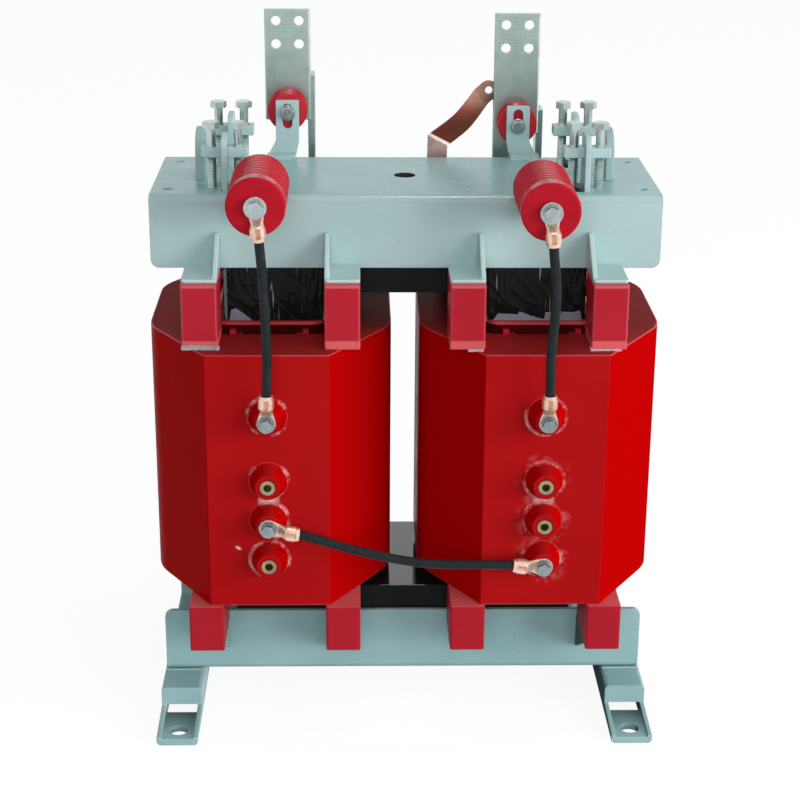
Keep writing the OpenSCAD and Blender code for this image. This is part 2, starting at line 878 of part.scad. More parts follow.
// Lifting eyes, with round tops
module lifting_eyes() {
    half = eye_d / 2;
    hole_z = deck_z + eye_h - half;
    color(grey_green)
        pair([1, 0, 0])
            plate_yz(eye_x - eye_t / 2, eye_x + eye_t / 2)
                difference() {
                    union() {
                        translate([-half, deck_z])
                            square([eye_d, hole_z - deck_z]);
                        translate([0, hole_z])
                            circle(r = half);
                    }
                    translate([0, hole_z])
                        circle(r = eye_hole_r);
                }
}

// Upright of an insulator strap, bent aside by lean where it meets the deck
module strap_upright(h, lean) {
    plate_xz(0, strap_t)
        polygon(rounded([[lean - strap_foot_w / 2, 0], [lean + strap_foot_w / 2, 0],
                         [strap_w / 2, strap_foot_l], [strap_w / 2, h],
                         [-strap_w / 2, h], [-strap_w / 2, strap_foot_l]],
                        [0, 0, strap_foot_l, strap_round_r, strap_round_r, strap_foot_l]));
}

// Front strap: an upright with one hole, on the deck's front edge
module front_strap(x, lift) {
    color(grey_green)
        translate([x, -skirt_y, deck_z])
            difference() {
                strap_upright(front_strap_h, 0);
                translate([0, 0, lift])
                    bar_y(-overcut, strap_t + overcut, bolt_hole_r);
            }
}

// Rear strap: an upright with a slot, bent into a foot on the deck
module rear_strap(x, h, lean) {
    slot_z = h - strap_slot_edge - strap_slot_l / 2;
    run = strap_slot_l - strap_slot_w;
    color(grey_green)
        translate([x, rear_strap_y, deck_z])
            difference() {
                union() {
                    strap_upright(h, lean);
                    translate([lean - strap_foot_w / 2, -strap_foot_l, 0])
                        cube([strap_foot_w, strap_foot_l, strap_t]);
                }
                for (z = [-run / 2, run / 2])
                    translate([0, 0, slot_z + z])
                        bar_y(-overcut, strap_t + overcut, strap_slot_w / 2);
                translate([-strap_slot_w / 2, -overcut, slot_z - run / 2])
                    cube([strap_slot_w, strap_t + 2 * overcut, run]);
            }
}

module front_straps() {
    front_strap(left_front_x, left_front_lift);
    front_strap(right_front_x, right_front_lift);
}

module rear_straps() {
    rear_strap(-rear_ins_x, left_rear_strap_h, -strap_lean);
    rear_strap(rear_ins_x, right_rear_strap_h, strap_lean);
}

// Front insulator: a round body with rings, a plain head and a rounded rim
module front_insulator(x, lift) {
    ring_pitch = (front_ins_l - front_ins_head - front_ins_tail) / front_grooves;
    rings = [for (i = [0:front_grooves - 1])
        let (z = front_ins_tail + i * ring_pitch)
        each [[front_ins_r, z], [front_groove_r, z + ring_pitch * groove_slope],
              [front_groove_r, z + ring_pitch * (groove_slope + groove_floor)],
              [front_ins_r, z + ring_pitch * (2 * groove_slope + groove_floor)]]];
    color(block_red)
        translate([x, -front_ins_back, deck_z + lift])
            rotate([90, 0, 0])
                rotate_extrude()
                    polygon(concat([[insert_hole_r, 0], [front_ins_r, 0]], rings,
                                   [[front_ins_r, front_ins_l - ins_edge],
                                    [front_ins_r - ins_edge, front_ins_l],
                                    [insert_hole_r, front_ins_l]],
                                   bolt_wells(front_ins_l)));
}

// Inner end of an insulator's outline, from one blind bolt hole to the other
function bolt_wells(l) = [[insert_hole_r, l - well_l], [0, l - well_l], [0, well_l],
                          [insert_hole_r, well_l]];

module left_front_insulator() {
    front_insulator(left_front_x, left_front_lift);
}

module right_front_insulator() {
    front_insulator(right_front_x, right_front_lift);
}

// Rear insulator: two flanges and a waist
module rear_insulator(x, lift) {
    slope = rear_ins_r - rear_waist_r;
    color(block_red)
        translate([x, skirt_y, deck_z + lift])
            rotate([-90, 0, 0])
                rotate_extrude()
                    polygon(concat([[insert_hole_r, 0], [rear_ins_r - ins_edge, 0], [rear_ins_r, ins_edge],
                                    [rear_ins_r, rear_flange_l], [rear_waist_r, rear_flange_l + slope],
                                    [rear_waist_r, rear_ins_l - rear_flange_l - slope],
                                    [rear_ins_r, rear_ins_l - rear_flange_l],
                                    [rear_ins_r, rear_ins_l - ins_edge],
                                    [rear_ins_r - ins_edge, rear_ins_l], [insert_hole_r, rear_ins_l]],
                                   bolt_wells(rear_ins_l)));
}

module left_rear_insulator() {
    rear_insulator(-rear_ins_x, left_rear_lift);
}

module right_rear_insulator() {
    rear_insulator(rear_ins_x, right_rear_lift);
}

// Busbar: an upright plate with four holes, bolted to its insulator
module busbar(x, rise, lift) {
    top = deck_z + rise;
    bottom = deck_z + lift - rear_ins_r + busbar_tuck;
    difference() {
        translate([x - busbar_w / 2, busbar_y, bottom])
            cube([busbar_w, busbar_t, top - bottom]);
        for (dx = [-1, 1] * busbar_hole_pitch / 2, row = [0, 1])
            translate([x + dx, 0, top - busbar_hole_in - row * busbar_hole_pitch])
                bar_y(busbar_y - overcut, busbar_back + overcut, busbar_hole_r);
        translate([x, 0, deck_z + lift])
            bar_y(busbar_y - overcut, busbar_back + overcut, bolt_hole_r);
    }
}

// Side view of a lead that leaves the low-voltage coil, steps back behind the clamp and rises
function lead_side(front, depth, top) =
    [[busbar_root_y, lv_top], [busbar_root_y + busbar_t, lv_top], [busbar_root_y + busbar_t, lead_low],
     [front + depth, lead_high], [front + depth, top], [front, top], [front, lead_high],
     [busbar_root_y, lead_low]];

module left_busbar() {
    color(zinc)
        busbar(-rear_ins_x, left_busbar_rise, left_rear_lift);
}

module right_busbar() {
    leg_x = rear_ins_x - busbar_w / 2;
    color(zinc) {
        busbar(rear_ins_x, right_busbar_rise, right_rear_lift);
        plate_yz(leg_x, leg_x + busbar_leg_w)
            polygon(lead_side(busbar_y, busbar_t, deck_z + right_rear_lift));
    }
}

module busbar_leads() {
    color(zinc) {
        plate_yz(-rear_ins_x + left_lead_x - lead_t / 2, -rear_ins_x + left_lead_x + lead_t / 2)
            polygon(lead_side(busbar_back, lead_d, deck_z + left_lead_rise));
        plate_yz(rear_ins_x + right_lead_x - lead_t / 2, rear_ins_x + right_lead_x + lead_t / 2)
            polygon(lead_side(busbar_back, lead_d, deck_z + right_lead_rise));
    }
}

// Edges of the copper strap, left and right, from its fold to its round end
earth_end = [earth_x + earth_side, deck_z + earth_rise];
earth_lean = unit([earth_side - earth_lean_x, earth_rise - earth_fold]);
earth_across = [earth_lean[1], -earth_lean[0]] * earth_w / 2;
earth_neck = earth_end - earth_lean * earth_w / 2;

// Ends of the copper strap's fold, left and right
earth_fold_left = [earth_x + earth_lean_x - earth_w / 2, deck_z + earth_fold + earth_tilt];
earth_fold_right = [earth_x + earth_lean_x + earth_w / 2, deck_z + earth_fold - earth_tilt];

// Copper strap: up the back of the clamp, folded aslant, leaning aside and back, with a round end
module copper_strap() {
    half = earth_w / 2;
    low = deck_z - earth_drop;
    lap = [0, overcut];
    color(copper) {
        plate_xz(skirt_y, skirt_y + earth_t)
            difference() {
                union() {
                    translate([earth_x, low])
                        circle(r = half);
                    polygon([[earth_x - half, low], [earth_x + half, low], earth_fold_right, earth_fold_left]);
                }
                translate([earth_x, low])
                    circle(r = earth_hole_r);
            }
        strap_bend(earth_fold_left - lap, earth_fold_right - lap, skirt_y,
                   earth_neck - earth_across + earth_lean * overcut,
                   earth_neck + earth_across + earth_lean * overcut, earth_end_y);
        plate_xz(earth_end_y, earth_end_y + earth_t)
            difference() {
                union() {
                    translate(earth_end)
                        circle(r = half);
                    polygon([earth_neck - earth_across, earth_neck + earth_across,
                             earth_end + earth_across, earth_end - earth_across]);
                }
                translate(earth_end)
                    circle(r = earth_hole_r);
            }
    }
}

// Strip of the copper strap's thickness from one edge line to another, at two depths
module strap_bend(left_a, right_a, y_a, left_b, right_b, y_b) {
    function at(p, y) = [p[0], y, p[1]];
    points = [at(left_a, y_a), at(right_a, y_a), at(right_b, y_b), at(left_b, y_b),
              at(left_a, y_a + earth_t), at(right_a, y_a + earth_t),
              at(right_b, y_b + earth_t), at(left_b, y_b + earth_t)];
    polyhedron(points, [[0, 2, 1], [0, 3, 2], [4, 5, 6], [4, 6, 7], [0, 1, 5, 4],
                        [2, 3, 7, 6], [1, 2, 6, 5], [3, 0, 4, 7]]);
}

// Bolt along +Y through a plate of thickness t that starts at y, with its thread behind it
module bolt_y(y, t, washer, thread = bolt_thread_l) {
    head = washer ? washer_t : 0;
    bar_y(y - head, y + t + thread, bolt_r);
    if (washer)
        bar_y(y - head, y, washer_r);
    hex_y(y - head - bolt_head_h, y - head, washer ? bolt_head_w : small_head_w);
}

module at_places(places) {
    for (place = places)
        translate([place[0], 0, place[1]])
            children();
}

module terminal_bolts() {
    color(zinc) {
        at_places(front_bolts)
            bolt_y(-front_ins_end - lug_palm_t, lug_palm_t, true);
        at_places(lug_bolts)
            bolt_y(-lug_seat - lug_palm_t, lug_palm_t, true);
    }
}

module strap_bolts() {
    color(zinc) {
        at_places(rear_bolts)
            bolt_y(rear_strap_y, strap_t, false);
        at_places(rear_bolts)
            mirror([0, 1, 0])
                bolt_y(-busbar_y - busbar_t, busbar_t, true);
        at_places(front_bolts)
            mirror([0, 1, 0])
                bolt_y(skirt_y - strap_t, strap_t, false);
        at_places(earth_bolts)
            mirror([0, 1, 0])
                bolt_y(-skirt_y - earth_t, earth_t, false, clamp_t);
    }
}

// Tube swept along a route, with the same ring at each point
function route_dir(route, i) =
    unit(route[min(i + 1, len(route) - 1)] - route[max(i - 1, 0)]);
function route_ring(route, i, r) =
    let (dir = route_dir(route, i), side = unit(cross(dir, [0, 1, 0])), up = cross(side, dir))
    [for (k = [0:cable_sides - 1])
        route[i] + r * (side * cos(360 * k / cable_sides) + up * sin(360 * k / cable_sides))];

module route_tube(route, r) {
    rings = len(route);
    points = [for (i = [0:rings - 1]) each route_ring(route, i, r)];
    sides = [for (i = [0:rings - 2], k = [0:cable_sides - 1])
        let (next = (k + 1) % cable_sides)
        [i * cable_sides + k, i * cable_sides + next,
         (i + 1) * cable_sides + next, (i + 1) * cable_sides + k]];
    ends = [[for (k = [cable_sides - 1:-1:0]) k],
            [for (k = [0:cable_sides - 1]) (rings - 1) * cable_sides + k]];
    polyhedron(points, concat(sides, ends));
}

module left_drop_cable() {
    color(cable_black)
        route_tube(left_drop_route, cable_d / 2);
}

module right_drop_cable() {
    color(cable_black)
        route_tube(right_drop_route, cable_d / 2);
}

module link_cable() {
    color(cable_black)
        route_tube(link_route, cable_d / 2);
}

// Cable lug with its palm on the seat at y and its barrel turned by angle from +X, downwards
module lug(x, y, z, angle) {
    translate([x, y, z])
        rotate([0, angle, 0]) {
            difference() {
                union() {
                    bar_y(-lug_palm_t, 0, lug_palm_r);
                    translate([0, -lug_palm_t, -lug_neck_w / 2])
                        cube([lug_neck, lug_palm_t, lug_neck_w]);
                }
                bar_y(-lug_palm_t - overcut, overcut, bolt_hole_r);
            }
            translate([lug_neck, -lug_r, 0])
                rotate([0, 90, 0])
                    cylinder(h = lug_l, r = lug_r);
        }
}

module left_drop_lugs() {
    color(copper) {
        lug(left_front_x, -front_ins_end, deck_z + left_front_lift, 90 - lug_leans[0]);
        lug(-limb_x, -lug_seat, end_z, -90 - lug_leans[1]);
    }
}

module right_drop_lugs() {
    color(copper) {
        lug(right_front_x, -front_ins_end, deck_z + right_front_lift, 90 - lug_leans[2]);
        lug(limb_x, -lug_seat, end_z, -90 + lug_leans[3]);
    }
}

module link_lugs() {
    color(copper) {
        lug(-limb_x, -lug_seat, tap_heights[left_link_tap], link_dip);
        lug(limb_x, -lug_seat, tap_heights[right_link_tap], 180);
    }
}

left_foot();
right_foot();
lower_clamp();
lower_brackets();
yoke_boards();
lower_yoke();
upper_yoke();
left_limb();
right_limb();
left_lv_coil();
right_lv_coil();
left_hv_coil();
right_hv_coil();
left_inserts();
right_inserts();
left_lower_blocks();
right_lower_blocks();
left_upper_blocks();
right_upper_blocks();
block_pads();
upper_clamp();
upper_brackets();
tie_plates();
cross_bars();
jack_bolts();
lifting_eyes();
front_straps();
left_front_insulator();
right_front_insulator();
rear_straps();
left_rear_insulator();
right_rear_insulator();
left_busbar();
right_busbar();
busbar_leads();
copper_strap();
terminal_bolts();
strap_bolts();
left_drop_cable();
right_drop_cable();
link_cable();
left_drop_lugs();
right_drop_lugs();
link_lugs();
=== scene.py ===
import math

import bmesh
import bpy
from mathutils import Matrix, Vector, noise


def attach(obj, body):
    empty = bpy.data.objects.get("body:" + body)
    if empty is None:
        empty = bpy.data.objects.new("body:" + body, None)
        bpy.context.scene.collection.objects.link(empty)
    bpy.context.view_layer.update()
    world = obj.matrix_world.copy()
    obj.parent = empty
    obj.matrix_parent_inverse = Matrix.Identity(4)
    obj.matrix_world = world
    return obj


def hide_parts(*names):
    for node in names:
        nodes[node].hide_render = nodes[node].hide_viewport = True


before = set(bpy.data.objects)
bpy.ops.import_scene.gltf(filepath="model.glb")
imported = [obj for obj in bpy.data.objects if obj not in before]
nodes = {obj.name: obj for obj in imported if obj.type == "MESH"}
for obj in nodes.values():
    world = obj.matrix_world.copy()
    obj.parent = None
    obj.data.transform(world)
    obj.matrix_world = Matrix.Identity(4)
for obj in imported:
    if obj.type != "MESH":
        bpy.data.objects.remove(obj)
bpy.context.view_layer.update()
scene = bpy.context.scene
scene.view_settings.view_transform = "Standard"
mm = 0.001
print("frame loaded:", len(nodes), "nodes")

# camera and light
photoCamera = {
    "place": (-0.0507, -1.979, 1.0492), "yaw": 1.374, "pitch": 20.038, "roll": 0.405, "lens": 83.43, "sensor": 36,
}
studio = {
    "ambient": 0.43, "ambientColor": (0.93, 0.98, 1.0), "target": (0, 0, 0.42),
    "lamps": [  # name, place, width and height, watts, colour, mirrored in glossy faces
        ("sideWindow", (5.4, -2.7, 1.35), (8, 3.2), 480, (1.0, 0.99, 0.97), False),
        ("frontFill", (-0.3, -5.5, 2.3), (3.0, 2.0), 118, (0.95, 0.99, 1.0), False),
        ("ceilingStrip", (0.18, -0.25, 3.5), (0.4, 0.3), 10, (1.0, 1.0, 1.0), True),
        ("sidePane", (3.9, -2.3, 1.9), (1.0, 1.5), 11, (1.0, 0.99, 0.97), True),
    ],
    "floorSize": 24, "floorColor": (0.9, 0.9, 0.9), "floorBounce": 0.38, "floorGlow": 1.05, "shadowShare": 0.13,
}


def placeCamera():
    yaw, pitch, roll = (math.radians(photoCamera[k]) for k in ("yaw", "pitch", "roll"))
    data = bpy.data.cameras.new("photoCamera")
    data.lens, data.sensor_width = photoCamera["lens"], photoCamera["sensor"]
    camera = bpy.data.objects.new("photoCamera", data)
    scene.collection.objects.link(camera)
    level = Matrix.Rotation(-yaw, 3, "Z") @ Matrix.Rotation(math.pi / 2 - pitch, 3, "X")
    turn = level @ Matrix.Rotation(roll, 3, "Z")
    camera.location, camera.rotation_euler = photoCamera["place"], turn.to_euler()
    scene.camera = camera


def feed(node, key, value):  # a link or a plain value into one input
    if isinstance(value, bpy.types.NodeSocket):
        node.id_data.links.new(value, node.inputs[key])
    else:
        node.inputs[key].default_value = value


def put(tree, kind, inputs=None, **settings):  # one shader node
    node = tree.nodes.new("ShaderNode" + kind)
    for key, value in settings.items():
        setattr(node, key, value)
    for key, value in (inputs or {}).items():
        feed(node, key, value)
    return node


def combine(how, value, *others):  # arithmetic on values, one after the other
    for other in others:
        value = put(value.id_data, "Math", {0: value, 1: other}, operation=how).outputs[0]
    return value


def seenRay(tree):  # 1 where the camera, a reflection or a clear piece looks
    path = put(tree, "LightPath").outputs
    return combine("MAXIMUM", path["Is Camera Ray"], path["Is Glossy Ray"], path["Is Transmission Ray"])


def lightStudio():
    world = bpy.data.worlds.new("studioWorld")
    scene.world = world
    world.use_nodes = True
    tree = world.node_tree
    tree.nodes.clear()
    soft = put(tree, "Background", {"Color": (*studio["ambientColor"], 1), "Strength": studio["ambient"]})
    white = put(tree, "Background", {"Color": (1, 1, 1, 1), "Strength": 1.0})
    both = put(tree, "MixShader", {0: seenRay(tree), 1: soft.outputs[0], 2: white.outputs[0]})
    put(tree, "OutputWorld", {"Surface": both.outputs[0]})
    for name, place, (wide, high), watts, colour, mirrored in studio["lamps"]:
        lamp = bpy.data.lights.new(name, "AREA")
        lamp.shape, lamp.size, lamp.size_y = "RECTANGLE", wide, high
        lamp.energy, lamp.color = watts, colour
        holder = bpy.data.objects.new(name, lamp)
        holder.location = place
        holder.rotation_euler = (Vector(studio["target"]) - Vector(place)).to_track_quat("-Z", "Y").to_euler()
        holder.visible_glossy = mirrored
        scene.collection.objects.link(holder)


def layFloor():
    bm = bmesh.new()
    bmesh.ops.create_grid(bm, x_segments=4, y_segments=4, size=studio["floorSize"] / 2)
    mesh = bpy.data.meshes.new("paleFloor")
    bm.to_mesh(mesh)
    bm.free()
    floor = bpy.data.objects.new("paleFloor", mesh)
    scene.collection.objects.link(floor)
    material = bpy.data.materials.new("paleFloor")
    material.use_nodes = True
    tree = material.node_tree
    tree.nodes.clear()
    shade = put(tree, "BsdfDiffuse", {"Color": (*studio["floorColor"], 1)})
    glow = put(tree, "Emission", {"Color": (1, 1, 1, 1), "Strength": studio["floorGlow"]})
    bounce = put(tree, "BsdfDiffuse", {"Color": (*[studio["floorBounce"]] * 3, 1)})
    seen = put(tree, "MixShader", {0: studio["shadowShare"], 1: glow.outputs[0], 2: shade.outputs[0]})
    both = put(tree, "MixShader", {0: seenRay(tree), 1: bounce.outputs[0], 2: seen.outputs[0]})
    put(tree, "OutputMaterial", {"Surface": both.outputs[0]})
    mesh.materials.append(material)


placeCamera()
lightStudio()
layFloor()
print("camera, lamps and floor placed")

# finishes
paintTable = {  # colour, darker patches, roughness, gloss, orange peel, dust specks
    "framePaint": ((0.39, 0.53, 0.53), (0.335, 0.465, 0.468), 0.21, 0.16, 0.05, 0.35),
    # a darker, cooler copy of the frame paint for the top of the upper clamp: painted shade
    "shadedDeckPaint": ((0.315, 0.505, 0.505), (0.275, 0.445, 0.447), 0.27, 0.25, 0.03, 0.12),
    # a darker copy of the frame paint for the lifting eyes: painted shade
    "eyePaint": ((0.315, 0.435, 0.432), (0.27, 0.38, 0.38), 0.24, 0.14, 0.05, 0.35),
    # a lighter copy of the frame paint for the upper brackets: painted light
    "seatPaint": ((0.43, 0.585, 0.585), (0.365, 0.51, 0.513), 0.21, 0.16, 0.05, 0.35),
    # a darker, bluer copy of the frame paint for the lower clamp, its brackets and the feet: painted shade
    "footPaint": ((0.31, 0.475, 0.487), (0.25, 0.405, 0.415), 0.32, 0.08, 0.05, 0.4),
    # paler paint on the rounded bracket edges: partly worn paint, partly a painted highlight
    "frameEdge": ((0.47, 0.60, 0.60), (0.37, 0.49, 0.49), 0.3, 0.4, 0.05, 0.2),
    "frameGlint": ((0.345, 0.47, 0.47), (0.31, 0.43, 0.43), 0.12, 0.5, 0.0, 0.1),
    "coilResin": ((0.385, 0.0068, 0.0082), (0.35, 0.0058, 0.007), 0.3, 0.005, 0.03, 0.12),
    # paler resin on the rounded coil edges and on the tops of the inner coils' rims: painted highlight
    "coilEdge": ((0.47, 0.045, 0.05), (0.40, 0.02, 0.024), 0.3, 0.2, 0.03, 0.05),
    "rimResin": ((0.24, 0.014, 0.017), (0.18, 0.01, 0.012), 0.35, 0.25, 0.03, 0.1),
    "ductShade": ((0.05, 0.003, 0.004), (0.03, 0.002, 0.003), 0.5, 0.02, 0.03, 0.0),
    "blockResin": ((0.42, 0.0155, 0.03), (0.375, 0.0115, 0.022), 0.42, 0.1, 0.04, 0.1),
    # a darker copy of the block resin for the lower blocks and the duct sticks: painted shade
    "lowerResin": ((0.395, 0.0125, 0.0245), (0.34, 0.009, 0.018), 0.42, 0.1, 0.04, 0.1),
    # paler resin on the rounded block edges: painted highlight
    "blockEdge": ((0.52, 0.062, 0.085), (0.46, 0.04, 0.055), 0.35, 0.2, 0.03, 0.05),
    "padSilicone": ((0.60, 0.1, 0.108), (0.52, 0.075, 0.08), 0.6, 0.2, 0.08, 0.1),
    "insulatorResin": ((0.44, 0.012, 0.024), (0.37, 0.009, 0.018), 0.24, 0.5, 0.02, 0.08),
    "coreLacquer": ((0.010, 0.012, 0.012), (0.006, 0.007, 0.007), 0.30, 0.06, 0.03, 0.0),
    "yokeGloss": ((0.012, 0.014, 0.014), (0.008, 0.009, 0.009), 0.08, 1.0, 0.0, 0.0),
    "blackFilm": ((0.007, 0.008, 0.008), (0.004, 0.005, 0.005), 0.2, 0.1, 0.0, 0.0),
    "insulatingBoard": ((0.03, 0.03, 0.028), (0.015, 0.015, 0.014), 0.7, 0.25, 0.1, 0.2),
    "paper": ((0.22, 0.22, 0.27), (0.13, 0.13, 0.17), 0.7, 0.2, 0.12, 0.1),
    "packing": ((0.60, 0.62, 0.64), (0.48, 0.50, 0.52), 0.6, 0.2, 0.1, 0.1),
}
paints = {name: dict(zip(("color", "dark", "rough", "gloss", "peel", "specks"), row)) for name, row in paintTable.items()}
paintTexture = {  # scale, detail, roughness and range of each noise
    "tone": (9, 4, 0.55, 0.35, 0.7), "marks": (170, 2, 0.7, 0.66, 0.74), "sheen": (38, 5, 0.65, 0.3, 0.7),
    "markShade": 0.55, "smoother": 0.06, "rougher": 0.08, "peelNoise": (620, 2), "peelDepth": 0.0006,
}
metals = {  # colour, darker patches, roughness, scale of the grain, share of metal
    "zincSteel": ((0.47, 0.53, 0.545), (0.32, 0.37, 0.38), 0.27, 420, 1.0),
    "zincDull": ((0.32, 0.362, 0.37), (0.2, 0.235, 0.24), 0.27, 420, 1.0),
    "zincShade": ((0.25, 0.29, 0.30), (0.16, 0.19, 0.2), 0.33, 420, 1.0),
    "jackZinc": ((0.53, 0.63, 0.605), (0.36, 0.44, 0.42), 0.34, 300, 1.0),
    # paler tin for the rounded busbar edges turned right: painted highlight
    "tinHighlight": ((0.80, 0.86, 0.84), (0.62, 0.68, 0.66), 0.3, 260, 1.0),
    "busbarTin": ((0.42, 0.53, 0.5), (0.36, 0.46, 0.435), 0.34, 260, 1.0),
    "insertBrass": ((0.40, 0.345, 0.20), (0.22, 0.18, 0.09), 0.40, 500, 1.0),
    "lugCopper": ((0.84, 0.60, 0.49), (0.62, 0.38, 0.27), 0.33, 380, 0.72),
}
metalTexture = {
    "patches": (60, 4, 0.6, 0.42, 0.72), "grain": (3, 0.6), "sheen": (0.3, 0.7), "smoother": 0.07, "rougher": 0.1,
    "bump": (0.12, 0.0004),
}


def startFinish(name):
    material = bpy.data.materials.new(name)
    material.use_nodes = True
    tree = material.node_tree
    return material, tree, tree.nodes["Principled BSDF"], put(tree, "TexCoord").outputs["Object"]


def blendColors(factor, first, second):
    first, second = (c if isinstance(c, bpy.types.NodeSocket) else (*c, 1) for c in (first, second))
    return put(factor.id_data, "Mix", {0: factor, 6: first, 7: second}, data_type="RGBA").outputs[2]


def spread(value, low, high, newLow=0.0, newHigh=1.0):  # value from one range to another, held at its ends
    ranges = {"From Min": low, "From Max": high, "To Min": newLow, "To Max": newHigh}
    return put(value.id_data, "MapRange", {"Value": value, **ranges}).outputs[0]


def cloud(coords, scale, detail=3, rough=0.55):
    inputs = {"Vector": coords, "Scale": scale, "Detail": detail, "Roughness": rough}
    return put(coords.id_data, "TexNoise", inputs).outputs["Fac"]


def pattern(coords, kind, newLow=0.0, newHigh=1.0):  # a noise, spread from its own range
    scale, detail, rough, low, high = kind
    return spread(cloud(coords, scale, detail, rough), low, high, newLow, newHigh)


def axes(vector):
    return put(vector.id_data, "SeparateXYZ", {0: vector}).outputs


def faceTurn(tree):  # which way the surface looks
    return axes(put(tree, "NewGeometry").outputs["Normal"])


def absolute(value):
    return put(value.id_data, "Math", {0: value}, operation="ABSOLUTE").outputs[0]


def addBump(shader, height, strength, distance):  # bump on top of what is there
    bump = put(shader.id_data, "Bump", {"Height": height, "Strength": strength, "Distance": distance})
    if shader.inputs["Normal"].is_linked:
        feed(bump, "Normal", shader.inputs["Normal"].links[0].from_socket)
    feed(shader, "Normal", bump.outputs[0])


def paintBase(name):
    look = paints[name]
    material, tree, shader, coords = startFinish(name)
    colour = blendColors(pattern(coords, paintTexture["tone"]), look["color"], look["dark"])
    if look["specks"]:  # dust and small marks
        marks = pattern(coords, paintTexture["marks"], 0.0, look["specks"])
        colour = blendColors(marks, colour, tuple(c * paintTexture["markShade"] for c in look["dark"]))
    smooth, dull = look["rough"] - paintTexture["smoother"], look["rough"] + paintTexture["rougher"]
    feed(shader, "Roughness", pattern(coords, paintTexture["sheen"], smooth, dull))
    feed(shader, "Specular IOR Level", look["gloss"])
    if look["peel"]:
        addBump(shader, cloud(coords, *paintTexture["peelNoise"]), look["peel"], paintTexture["peelDepth"])
    return material, tree, shader, coords, colour


def metalFinish(name):
    color, dark, rough, scale, metal = metals[name]
    material, _, shader, coords = startFinish(name)
    patches = pattern(coords, metalTexture["patches"])
    feed(shader, "Base Color", blendColors(patches, color, dark))
    grain = cloud(coords, scale, *metalTexture["grain"])
    smooth, dull = rough - metalTexture["smoother"], rough + metalTexture["rougher"]
    feed(shader, "Roughness", spread(grain, *metalTexture["sheen"], smooth, dull))
    feed(shader, "Metallic", metal)
    addBump(shader, grain, *metalTexture["bump"])
    return material


# paler band along the top edge of the upper blocks, a painted highlight
blockTopHighlight = {"paint": "blockResin", "height": (0.5066, 0.5072), "color": (0.55, 0.1, 0.13)}


def plainPaint(name):
    material, _, shader, coords, colour = paintBase(name)
    if name == blockTopHighlight["paint"]:
        band = spread(axes(coords)["Z"], *blockTopHighlight["height"])
        colour = blendColors(band, colour, blockTopHighlight["color"])
    feed(shader, "Base Color", colour)
    return material


coilMarks = {  # residue of casting round the bosses, in metres
    "x": 0.145, "heights": (0.212, 0.257, 0.302, 0.374), "front": -0.1765, "color": (0.72, 0.46, 0.47),
    "ring": (0.0188, 0.0204, 0.0212, 0.0236), "ringNoise": (38, 4, 0.65, 0.5, 0.6),
    "joint": (0.2795, 0.007, 0.0125), "patchNoise": (210, 4, 0.7, 0.35, 0.6), "share": (0.3, 0.95),
    "scratch": (-0.1782, 0.2249), "scratchSize": (0.0009, 0.0022, 0.9), "scratchTurn": 35, "scratchStretch": (2, 1000, 1),
    "haze": (0.021, 0.033, 0.2), "hazeNoise": (75, 5, 0.7, 0.5, 0.68), "hazeSide": (0, 0.01), "hazeTop": (0.33, 0.34),
    # side faces: the resin without the painted reflection that the front colour carries
    "side": (0.39, 0.0007, 0.0011), "sideTurn": (0.2, 0.6), "dullTurn": (0.3, 0.6),
    # top faces high on the coils: painted shade under the clamp, with a brownish dusty tint
    "top": (0.27, 0.015, 0.016), "topTurn": (0.6, 0.9), "crown": (0.43, 0.434),
}


